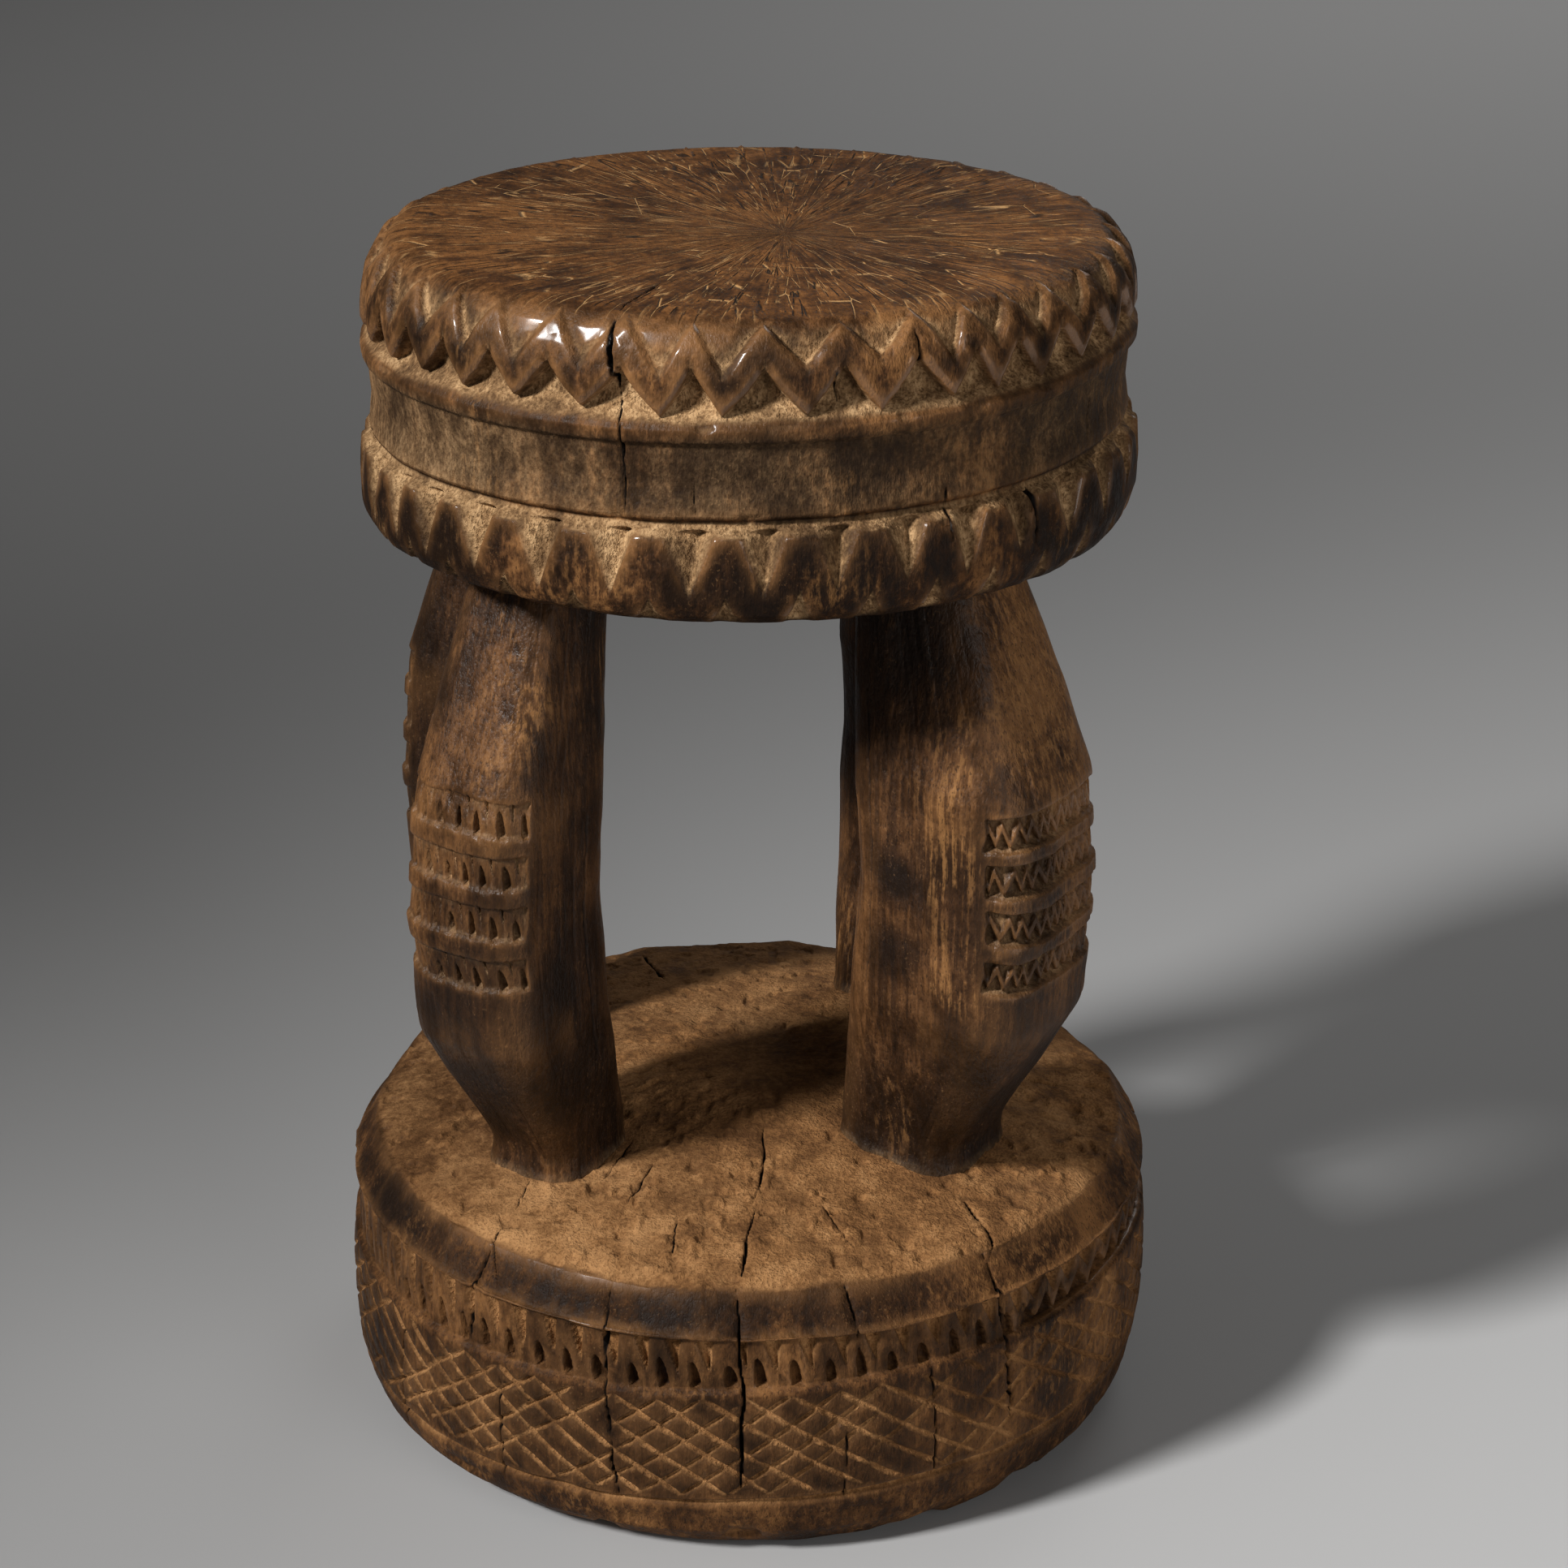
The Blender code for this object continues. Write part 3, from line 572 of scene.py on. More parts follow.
seat = {
    "steps": int(1440 * detail),
    "triangles": 188000,
    "keys": [
        ("pith", 0, 440.4, 3), ("flat", 96, 440.6, 1.4), ("brow", 115, 440.6, 0.6),
        ("arcA", 120.5, 439.5, 0.55), ("arcB", 125.6, 436.2, 0.55), ("arcC", 128.9, 431.2, 0.55),
        ("arcD", 130.6, 424.5, 0.55), ("teeth", 131.2, 417, 0.55), ("ridgeTop", 131.6, 409.4, 0.4),
        ("ridge", 133, 407.6, 0.4), ("ridgeSide", 132.6, 403.6, 0.4),
        ("ridgeFoot", 130.4, 402, 0.4), ("waist", 129.4, 389, 0.6),
        ("hem", 130.9, 378.2, 0.35), ("under", 128.8, 376.9, 0.35), ("shelf", 129, 375.4, 0.4),
        ("ledge", 134, 372.6, 0.5), ("belly", 134.7, 362, 0.55), ("turn", 134.2, 351.5, 0.5),
        ("foot", 132.2, 346, 0.5), ("edge", 127.6, 342.6, 0.8), ("underside", 120, 342, 5),
        ("centre", 0, 342, 5),
    ],
    "softness": 0.55,
    "tilt": 3,                    # the carved lines climb towards the right
    "upperTips": [-63, -53, -43.5, -34, -23.5, -12, -3.5, 8, 18.5, 29.5, 37, 45.5],
    "lowerPoints": [-60.5, -52, -41, -30, -19, -8, 2, 12, 22, 31.5],
    "teethRound": 36,
    "upperDepth": 5.4,
    "browDepth": 3,
    "notchDepth": 6.6,
    "lesserDepth": 4.2,
    "topHeight": 441,
    "footHeight": 342,
    "caps": (20, 30),           # how far the flat caps reach round the top and bottom centres
    # half width, depth, then bearing and height of each node
    "cracks": [
        (1.1, 5, [(-19.5, 439.5), (-19, 431), (-18.2, 417)]),
        (0.55, 4, [(-18.4, 420), (-17.4, 401), (-17.3, 378)]),
        (0.4, 2, [(-7.3, 389), (-7.2, 378)]),
        (0.5, 2, [(12.1, 427), (12.3, 413)]),
        (0.5, 2, [(24, 435), (24.2, 423)]),
        (0.5, 2.5, [(28.5, 386), (28.9, 364)]),
        (0.8, 3, [(44, 376), (44.2, 357)]),
        (0.4, 2, [(59, 397), (59.2, 382)]),
        (0.6, 3, [(118, 436), (119.5, 405), (119, 380)]),
        (0.6, 2, [(171, 398), (171.8, 360)]),
        (0.6, 3.5, [(-124, 434), (-122.5, 402), (-123, 352)]),
    ],
    # on the top: bearing and distance from the middle
    "topCracks": [
        (0.6, 2, [(-19.6, 122), (-19.2, 84)]), (0.45, 1.5, [(64, 104), (66, 72)]),
        (0.45, 1.2, [(150, 74), (151, 48)]), (0.4, 1.2, [(28, 44), (29, 30)]),
    ],
    "seed": 11,
}


def carveSeat(seat):
    rng = np.random.default_rng(seat["seed"])
    rows = rowsAlong(seat["keys"], seat["softness"])
    at, along = rows["at"], rows["along"][None, :]
    bearing, side, front, radius, height, flatLumps, ringLumps = ringGrid(seat, rows)

    # upper band: a raised zigzag, deep below it and scooped above it
    up = at["ridgeTop"] - along
    tips = teethRound(seat["upperTips"], seat["teethRound"], 0.5, rng)
    tooth, share = toothCells(tips, bearing)
    away = np.abs(share)
    tip = 3.0 + rng.uniform(-0.9, 0.9, len(tips))[tooth] + 1.5 * smooth(0.2, 0.8, -side)
    dip = 17.0 + rng.uniform(-1.5, 1.5, len(tips))[tooth]
    horn = 0.80 + rng.uniform(-0.10, 0.10, len(tips))[tooth]
    wobble = 0.6 * ringLumps(22.0, 41, up / 9.0)
    lowEdge = tip + (17.0 - tip) * away ** 1.15 + wobble
    highEdge = dip + (30.0 - dip) * np.minimum(away / horn, 1.6) ** 1.2 + wobble
    ridgeLine = 0.9 * ringLumps(14.0, 42)
    lowCut = smooth(0.0, 0.9, 0.62 * (lowEdge - up)) * smooth(-1.0, 6.5, up - ridgeLine)
    fade = unit(1.0 - (up - highEdge) / (15.0 * np.maximum(1.0 - away / horn, 0.0) + 1.5))
    wrapped = (bearing + 180.0) % 360.0 - 180.0
    solid = smooth(-50.0, -38.0, wrapped) * smooth(4.0, -6.0, wrapped)      # here the teeth join the rim
    highCut = smooth(0.0, 1.2, 0.55 * (up - highEdge)) * fade * (1.0 - 0.65 * solid)
    across = unit((up - lowEdge) / (highEdge - lowEdge))
    inBand = (up > -2.0) & (up < 40.0)
    crown = np.where(inBand, 1.1 * np.minimum(1.7 * np.sin(across * math.pi), 1.0), 0.0)
    relief = np.where(inBand, seat["upperDepth"] * lowCut + seat["browDepth"] * highCut, 0.0) - crown
    floorOf = smooth(0.0, 1.2, 0.62 * (lowEdge - up)) * smooth(-0.8, 1.2, up - ridgeLine)
    dust = np.where(inBand, 0.95 * floorOf + 0.40 * smooth(0.05, 0.5, highCut), 0.0)

    # lower band: notches that open at the ledge, and small ones at the bottom edge
    down = along - at["ledge"]
    points = teethRound(seat["lowerPoints"], seat["teethRound"], 0.5, rng)
    notch, share = toothCells(points, bearing)
    reach = 19.5 + rng.uniform(-2.0, 1.8, len(points))[notch] - 2.0 * side
    left = np.clip(1.0 - np.maximum(down, -2.0) / reach, 0.0, 1.1)
    half = (0.66 + rng.uniform(-0.06, 0.06, len(points))[notch]) * left + 1e-6
    valley = (0.42 + rng.uniform(-0.12, 0.12, len(points))[notch]) * half
    slope = np.where(share < valley, (share + half) / (valley + half), (half - share) / (half - valley))
    slope = unit(slope)
    onBand = smooth(at["shelf"] + 0.6, at["ledge"] - 0.4, along) * (down < 24.0)
    cut = seat["notchDepth"] * slope * left ** 0.85 * onBand
    relief = relief + cut
    dust = dust + smooth(0.3, 1.6, cut) * np.where(share < valley, 1.0, 0.65)
    rise = at["foot"] - along + 3.0
    middles = (points + np.roll(points, -1)) / 2 + np.where(points > np.roll(points, -1), 180.0, 0.0)
    lesser, between = toothCells(np.sort(middles), bearing)
    tall = 12.0 + rng.uniform(-2.5, 2.5, len(points))[lesser]
    narrow = unit(1.0 - rise / tall)
    half = 0.44 * narrow + 1e-6
    steep, gentle = (between + half) / (0.65 * half), (half - between) / (1.35 * half)
    ramped = np.where(between < -0.35 * half, steep, gentle)
    low = seat["lesserDepth"] * unit(ramped) * narrow ** 0.7 * (down > 6.0)
    low = low * (along < at["edge"] + 2.0) * smooth(at["edge"] + 2.0, at["foot"], along)
    relief = relief + low
    dust = dust + 0.8 * smooth(0.3, 1.4, low)

    # shelf and the joins of the bands hold dust; edges are nicked
    dust = dust + 0.9 * band(along, at["under"] - 0.5, at["shelf"], at["ledge"] - 1.5, at["ledge"] + 0.5)
    nick = smooth(0.35, 0.75, ringLumps(19.0, 43, along / 6.0))
    onEdge = bell(along - at["ridge"], 2.2) + bell(along - at["hem"], 1.3) + bell(along - at["ledge"], 1.5)
    relief = relief + 1.1 * nick * onEdge

    # cracks from drying
    cracks = cracksOnSide(seat["cracks"], rows, rows["radius"] > 118.0) + seat["topCracks"]
    split = crackCuts(cracks, bearing, rows)
    uneven = 0.35 * flatLumps(14.0, 44, height / 14.0)
    uneven = uneven + 0.14 * flatLumps(4.5, 45, height / 6.0)
    wear, hollow = edgesOf(relief, int(5 * detail) + 1, 4)
    onTop = 1.0 - smooth(at["brow"] - 2.0, at["arcB"], along + 0.0 * bearing)
    shaved = bell(along - at["ridge"], 3.0) + bell(along - at["hem"] + 1.0, 1.6)
    shaved = shaved + 0.8 * bell(along - at["ledge"] - 1.0, 2.0) * (1.0 - smooth(0.2, 1.0, cut))
    handled = bell(up - 27.0, 7.0) * smooth(0.6, 0.0, highCut) * (0.25 + 0.6 * solid)
    wear = unit(wear + handled + 0.4 * shaved * (1.0 - unit(dust)))
    dust = unit(dust + 0.5 * hollow) * (1.0 - 0.8 * wear)

    deep = relief + split + uneven
    flatWays = band(along, at["ridgeTop"] - 1.0, at["ridgeTop"] + 1.0, at["turn"], at["foot"])
    outward = rows["outward"] * (1.0 - flatWays) + flatWays
    upward = rows["upward"] * (1.0 - flatWays)
    inside = smooth(0.0, 12.0, radius)
    newRadius = radius - outward * deep * inside
    newHeight = height - upward * deep * inside
    lines = band(along, at["brow"], at["teeth"], at["turn"], at["edge"])
    newHeight = newHeight + lines * (seat["tilt"] * side + 0.9 * ringLumps(3.0, 46))
    outOfRound = 0.006 * ringLumps(1.6, 47) * smooth(60.0, 120.0, radius)
    newRadius = newRadius * (1.0 + outOfRound)
    newHeight = np.minimum(newHeight, seat["topHeight"])
    newHeight = np.where(along > at["underside"], np.maximum(newHeight, seat["footHeight"]), newHeight)
    points3 = np.stack([side * newRadius, front * newRadius, newHeight], axis=2)
    # thin dust on the plain band, heavier to the left: partly painted light, lighter on the side towards the
    # key lamp and darker to the right
    onPlain = band(along, at["ridge"], at["ridgeFoot"], at["hem"] - 1.0, at["hem"])
    dust = unit(dust + onPlain * (0.16 + 0.22 * smooth(0.1, 0.9, -side)))
    # tone shifts: the side darkens to the right, away from the key lamp, as painted shade; the top is
    # lighter, and the plain band, the lower band and the faces of the upper teeth are darker
    stainAndPaintedLight = 0.35 * onTop - 0.35 * smooth(0.0, 0.9, side) * (1.0 - onTop) - 0.25 * onPlain
    stainAndPaintedLight = stainAndPaintedLight - 0.35 * smooth(at["shelf"], at["ledge"], along)
    stainAndPaintedLight = stainAndPaintedLight - 0.2 * np.where(inBand & (up < 27.0), (1.0 - floorOf) * (1.0 - highCut), 0.0)
    fields = {"dust": dust, "wear": wear, "crack": unit(split / 1.6), "top": onTop, "stainAndPaintedLight": stainAndPaintedLight}
    blank = turnBlank("seatDrum", rows["radius"], rows["height"], seat["steps"])
    carveBlank(blank, points3, fields, seat["triangles"], seat["caps"])
    return blank


seatDrum = carveSeat(seat)
seatDrum.data.materials.append(seatWood)
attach(seatDrum, "root")
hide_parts("seat")


# the base drum

base = {
    "steps": int(1440 * detail),
    "triangles": 188000,
    "edgeHeight": 107,
    "domeRise": 16,
    "domeRadius": 132,
    "keys": [
        ("shoulder", 136.5, 106.2, 0.5), ("brow", 139.6, 105, 0.5), ("belt", 144.6, 97.2, 0.6),
        ("beltFoot", 148.6, 90.6, 0.35), ("rowTop", 146.6, 89.5, 0.5), ("rowFoot", 147, 70.6, 0.4),
        ("rail", 148.9, 69, 0.5), ("hatchA", 149.6, 58, 0.6), ("hatchB", 149.8, 42, 0.6),
        ("hatchFoot", 149, 26.5, 0.5), ("lip", 148.2, 22, 0.6), ("lipB", 145.2, 11, 0.7),
        ("heel", 138.5, 3, 0.8), ("edge", 128, 0.2, 2), ("underside", 118, 0, 5),
        ("centre", 0, 0, 5),
    ],
    "softness": 0.5,
    "tilt": 5,
    "bandRadius": 149,
    "caps": (20, 106),
    "rowTeeth": 80,
    "rowDepth": 3.6,
    "slotShape": (0.19, 0.52, 0.28),
    "zigzagShape": (0.24, 0.76, 0.34),
    "zigzagFrom": 42,             # the row turns from slots to a thin zigzag at this bearing
    "zigzagTo": 150,
    "hatchPanels": 22,
    "hatchDiamonds": 60,
    "hatchTop": 67.5,
    "hatchFoot": 28.5,
    "hatchSlope": 0.714,
    "hatchHalfWidth": 1.3,
    "facets": [-78, -56, -37, -18, 3, 21, 42, 64, 88, 113, 137, 161, 186, 209, 233, 257],
    "cracks": [
        (0.6, 3, [(-39.3, 113), (-41, 90), (-42.2, 67)]),
        (0.5, 2.5, [(-35.4, 67), (-36, 16)]),
        (0.6, 3.5, [(-19.7, 110), (-19.5, 71), (-17.7, 19)]),
        (0.8, 6, [(-1.7, 108), (-1.4, 90), (-0.6, 66), (-1.1, 23)]),
        (0.5, 2.5, [(-56, 64), (-57.7, 11)]),
        (0.75, 5, [(35.9, 108), (37.3, 79), (38.7, 26)]),
        (0.5, 2.5, [(13.7, 108), (15.2, 77)]),
        (0.5, 2.5, [(25.3, 74), (26.3, 21)]),
        (0.4, 2, [(13.1, 54), (13.3, 19)]),
        (0.6, 3.5, [(96, 106), (95, 60), (96.5, 18)]),
        (0.5, 3, [(152, 104), (151, 40)]),
        (0.7, 4, [(-150, 106), (-151, 64), (-149, 22)]),
        (0.5, 2.5, [(-96, 86), (-97, 30)]),
    ],
    # on the top: bearing and distance from the middle
    "topCracks": [
        (0.6, 3, [(-37, 155), (-40, 140), (-41, 132)]),
        (0.5, 2.5, [(-24, 106), (-24.6, 77)]),
        (0.5, 2.5, [(-46.5, 108), (-41.5, 124)]),
        (0.6, 3.5, [(-1.2, 140), (-0.5, 117), (1.5, 96)]),
        (0.5, 2.5, [(0.6, 101), (3, 80), (7, 48)]),
        (0.4, 2, [(-12, 128), (-13.5, 104)]),
        (0.4, 2, [(17, 126), (15.5, 98)]),
        (0.4, 2, [(-33, 98), (-36, 70)]),
        (0.6, 3.5, [(36.5, 145), (38.5, 138), (41, 115)]),
        (0.8, 2.5, [(110, 128), (112, 90)]),
        (0.8, 2.5, [(-160, 130), (-157, 84)]),
    ],
    "seed": 23,
}


def domeHeight(radius):
    return base["edgeHeight"] + base["domeRise"] * (1.0 - (radius / base["domeRadius"]) ** 2)


def domeSpacing(radius):
    # rows stand closer where the top can be seen
    return 1.0 if radius > 80 else 1.6 if radius > 40 else 3.0


def hatchStrokes(base, rng):
    # crossed knife cuts round the band, broken at the edges of panels; on the right they mostly run one way
    girth = 2.0 * math.pi * base["bandRadius"]
    top, foot, slope = base["hatchTop"], base["hatchFoot"], base["hatchSlope"]
    length = (top - foot) / slope
    panels = base["hatchPanels"]
    edges = [(panel + rng.uniform(-0.12, 0.12)) * girth / panels for panel in range(-4, panels + 5)]
    strokes = []
    for lean in (1, -1):
        for line in range(base["hatchDiamonds"]):
            start = line * girth / base["hatchDiamonds"]
            low, high = sorted((start, start + lean * length))
            breaks = [low] + [edge for edge in edges if low < edge < high] + [high]
            for left, right in zip(breaks, breaks[1:]):
                middle = math.degrees((left + right) / (2.0 * base["bandRadius"]))
                oneWay = 12.0 < middle < 72.0 and lean < 0
                if right - left < 5.0 or rng.uniform() < (0.65 if oneWay else 0.05):
                    continue
                shift = rng.uniform(-0.9, 0.9)
                left, right = left - rng.uniform(0.0, 2.0), right + rng.uniform(0.0, 2.0)
                ends = [(across, top - lean * slope * (across - start) + shift) for across in (left, right)]
                strokes.append((*ends[0], *ends[1], rng.uniform(1.5, 2.2) * (0.7 if oneWay else 1.0)))
    return [(a + turn, b, c + turn, d, e) for turn in (-girth, 0.0, girth) for a, b, c, d, e in strokes
            if a + turn < girth and c + turn > 0.0]


def carveBase(base):
    rng = np.random.default_rng(base["seed"])
    dome = [(f"dome{r}", r, domeHeight(r), domeSpacing(r)) for r in range(0, 130, 8)]
    rows = rowsAlong(dome + base["keys"], base["softness"])
    at, along = rows["at"], rows["along"][None, :]
    bearing, side, front, radius, height, flatLumps, ringLumps = ringGrid(base, rows)
    px, py = side * radius, front * radius
    unrolled = (np.radians(bearing) % (2.0 * math.pi)) * base["bandRadius"]

    # belt under the top edge: plain, cut in broad flats
    onBelt = band(along, at["shoulder"] - 6.0, at["brow"], at["beltFoot"] - 0.5, at["beltFoot"] + 0.5)
    flats = np.full(bearing.shape, 9.0)
    for middle in base["facets"]:
        offset = np.abs((bearing - middle + 180.0) % 360.0 - 180.0)
        flat = 1.0 / np.cos(np.radians(np.minimum(offset, 60.0))) * (1.0 + rng.uniform(-0.004, 0.006))
        flats = np.minimum(flats, flat)
    relief = onBelt * (1.02 - flats) * 140.0 * 0.55
    dust = np.zeros(relief.shape)

    # toothed row
    level = (at["rowFoot"] - along) / (at["rowFoot"] - at["rowTop"])
    pitch = 2.0 * math.pi * base["bandRadius"] / base["rowTeeth"]
    above, below = slottedRow(unrolled, level, pitch, *base["slotShape"], 51)
    zigAbove, zigBelow = zigzagRow(unrolled, level, pitch, *base["zigzagShape"], 51)
    wrapped = bearing % 360.0
    zig = smooth(base["zigzagFrom"] - 3.0, base["zigzagFrom"] + 3.0, wrapped)
    zig = zig * smooth(base["zigzagTo"] + 3.0, base["zigzagTo"] - 3.0, wrapped)
    above, below = above + (zigAbove - above) * zig, below + (zigBelow - below) * zig
    inRow = band(level, -0.02, 0.05, 0.97, 1.02)
    cut = base["rowDepth"] * inRow * np.maximum(0.8 * above, below)
    relief = relief + cut
    dust = dust + inRow * (0.9 * above - 0.3 * below)

    # cross-hatched band
    acrossAll, heightAll = unrolled + 0.0 * along, height + 0.0 * bearing
    groove = strokeCuts(hatchStrokes(base, rng), acrossAll, heightAll, base["hatchHalfWidth"])
    onHatch = band(along, at["rail"] + 0.5, at["rail"] + 3.0, at["hatchFoot"] - 2.5, at["hatchFoot"])
    relief = relief + groove * onHatch
    dust = dust + 0.75 * smooth(0.10, 0.8, groove * onHatch)
    lipWaver = 0.8 * ringLumps(9.0, 52)
    lipLine = bell(along - at["hatchFoot"] - 1.5 - lipWaver, 1.2)
    relief = relief + 2.0 * lipLine
    dust = dust + 0.7 * lipLine
    chips = smooth(0.2, 0.7, ringLumps(11.0, 53, along / 9.0))
    chips = chips * smooth(at["lip"], at["lipB"], along)
    relief = relief + 1.8 * chips * (1.0 - smooth(at["edge"], at["underside"], along))
    nick = smooth(0.3, 0.75, ringLumps(21.0, 54, along / 5.0))
    onEdge = bell(along - at["beltFoot"], 1.3) + bell(along - at["rail"], 1.3)
    relief = relief + nick * onEdge

    # dusty top with pits and clods
    onTop = 1.0 - smooth(at["brow"] - 2.5, at["brow"] + 0.6, along + 1.6 * flatLumps(9.0, 55))
    pits = smooth(0.45, 0.8, flatLumps(5.0, 56))
    rough = 0.7 * flatLumps(24.0, 57) + 0.25 * flatLumps(7.0, 58)
    crumbs = smooth(0.30, 0.70, flatLumps(3.2, 65))
    crumbs = crumbs * smooth(-0.2, 0.4, flatLumps(21.0, 66))
    rough = rough + 0.22 * flatLumps(2.4, 59) + 1.2 * pits - 1.1 * crumbs
    relief = relief + onTop * rough * smooth(0.0, 20.0, radius)
    drift = 0.72 + 0.28 * smooth(10.0, -90.0, py)
    drift = drift - 0.60 * smooth(-30.0, -100.0, px) * smooth(-120.0, -30.0, py)
    drift = drift + 0.25 * flatLumps(34.0, 64) + 0.3 * crumbs - 0.5 * pits
    dust = dust + onTop * np.clip(drift, 0.08, 1.0)

    # cracks, wear and the carved places
    cracks = cracksOnSide(base["cracks"], rows, rows["along"] > at["shoulder"] - 1.0) + base["topCracks"]
    split = crackCuts(cracks, bearing, rows)
    uneven = 0.45 * flatLumps(18.0, 60, height / 18.0)
    uneven = uneven + 0.16 * flatLumps(5.0, 61, height / 7.0)
    wear, hollow = edgesOf(relief, int(5 * detail) + 1, 4)
    shaved = bell(along - at["brow"], 3.5) + 0.8 * bell(along - at["beltFoot"] + 0.8, 1.4)
    rubbed = bell((bearing + 205.0) % 360.0 - 180.0, 13.0)
    wear = (1.0 - 0.4 * inRow) * wear + (0.55 + 0.45 * rubbed) * shaved
    wear = unit(wear) * (1.0 - 0.8 * onTop)
    dust = unit(dust + 0.4 * hollow) * (1.0 - 0.7 * wear)

    deep = relief + split + uneven
    newRadius = radius - rows["outward"] * deep * smooth(0.0, 6.0, radius)
    newHeight = height - rows["upward"] * deep * smooth(0.0, 6.0, radius)
    lines = band(along, at["beltFoot"] - 3.0, at["rowFoot"], at["lip"], at["heel"])
    newHeight = newHeight + lines * (base["tilt"] * side + 1.0 * ringLumps(3.0, 62))
    outOfRound = 0.006 * ringLumps(1.5, 63) * smooth(90.0, 130.0, radius)
    newRadius = newRadius * (1.0 + outOfRound)
    newHeight = np.where(along > at["heel"], np.maximum(newHeight, 0.0), newHeight)
    newHeight = np.where(along >= at["underside"], 0.0, newHeight)
    points3 = np.stack([side * newRadius, front * newRadius, newHeight], axis=2)
    # painted light and shade on the belt and the hatched band: lighter to the right, standing in for light
    # bounced from the floor, and darker to the left; the row is darker all round
    stainAndPaintedLight = (1.5 * smooth(0.15, 0.75, side) - 0.9) * (onBelt * (1.0 - onTop) + onHatch) - 0.25 * inRow
    stainAndPaintedLight = stainAndPaintedLight - 0.5 * smooth(-30.0, -100.0, px) * onTop
    fields = {"dust": dust, "wear": wear, "crack": unit(split / 1.6), "top": onTop, "stainAndPaintedLight": stainAndPaintedLight}
    blank = turnBlank("baseDrum", rows["radius"], rows["height"], base["steps"])
    carveBlank(blank, points3, fields, base["triangles"], base["caps"])
    return blank


baseDrum = carveBase(base)
baseDrum.data.materials.append(baseWood)
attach(baseDrum, "root")
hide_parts("base")


# the four legs

legs = {
    "steps": int(520 * detail),
    "triangles": 110000,
    "footHeight": 110,            # before the foot is fitted to the dome
    "headHeight": 342.6,
    "panelMiddle": 216,
    "elbows": (176, 257),
    "sink": 0.8,
    "squareness": 3.5,
    # height, bow outwards, half width, half depth
    "stations": [(100, 0, 21, 20.5), (121, 0, 21, 20.5), (173, 18, 29, 30),
                 (216, 21, 29.3, 30), (259, 18, 29, 30), (343, 0, 20, 18.5)],
    "bend": 2.2,
    "rowHeight": 12,
    "slotPitch": 9,
    "slotShape": (0.19, 0.68, 0.09),
    "zigzagPitch": 5.8,
    "zigzagShape": (0.24, 0.76, 0.22),
    "rowDepth": 3,
    "panelHalf": 32,
    # bearing, distance from the middle, turn, girth and lift of the elbows of each leg
    "each": {
        "legFrontLeft": {
            "node": "leg_front_left", "bearing": -51, "reach": 88, "turn": 12, "girth": 0.98, "lift": 2,
            "rowFeet": [200.3, 218.8, 236.8, 256], "slots": True, "dusty": 0.5,
            "cracks": [(-27, 262, 300, 0.9, 3), (62, 150, 260, 0.5, 2)],
            # lighter or darker places, some the wood's own stains and blotches, some painted light on lit
            # faces and painted shade on shaded sides: share, across the face and its span, height and its
            # span
            # the second entry darkens the right flank, turned away from the key lamp, as painted shade; the
            # third is a dark stain low on the leg
            "stainsAndPaintedLight": [(0.5, 8, 12, 305, 24), (-1.2, 48, 18, 200, 80),
                      (-1.4, 0, 60, 136, 44)]},
        "legFrontRight": {
            "node": "leg_front_right", "bearing": 54, "reach": 78, "turn": 3, "girth": 1.22, "lift": 6,
            "rowFeet": [198, 216, 233, 250], "slots": False, "dusty": 0.05,
            "cracks": [(13, 132, 192, 0.5, 2), (-70, 180, 300, 0.4, 1.5)],
            # the second entry is painted light on the upper face, the fifth painted shade on the upper left
            # where the seat's shadow falls; the two blotches are the wood's own
            "stainsAndPaintedLight": [(0.9, -52, 16, 235, 42), (1.7, -8, 44, 300, 38),
                      (-1.8, -75, 10, 231, 9), (-1.8, -75, 12, 203, 11),
                      (-0.9, -60, 24, 320, 36), (-0.5, -20, 50, 140, 34)]},
        "legBackLeft": {
            "node": "leg_back_left", "bearing": -122, "reach": 94, "turn": 0, "girth": 1.00, "lift": 6,
            "rowFeet": [203, 221, 239, 257], "slots": True, "dusty": 0.5,
            "cracks": [(20, 130, 190, 0.5, 2)],
            "stainsAndPaintedLight": [(0.7, 10, 22, 290, 36), (-0.7, 50, 20, 210, 70)]},
        "legBackRight": {
            "node": "leg_back_right", "bearing": 142, "reach": 96, "turn": 0, "girth": 1.04, "lift": 4,
            "rowFeet": [200, 218, 235, 253], "slots": False, "dusty": 0.05,
            "cracks": [(-14, 270, 330, 0.6, 2.5)],
            "stainsAndPaintedLight": [(0.8, -10, 24, 290, 36), (-0.6, 40, 24, 180, 60)]},
    },
}


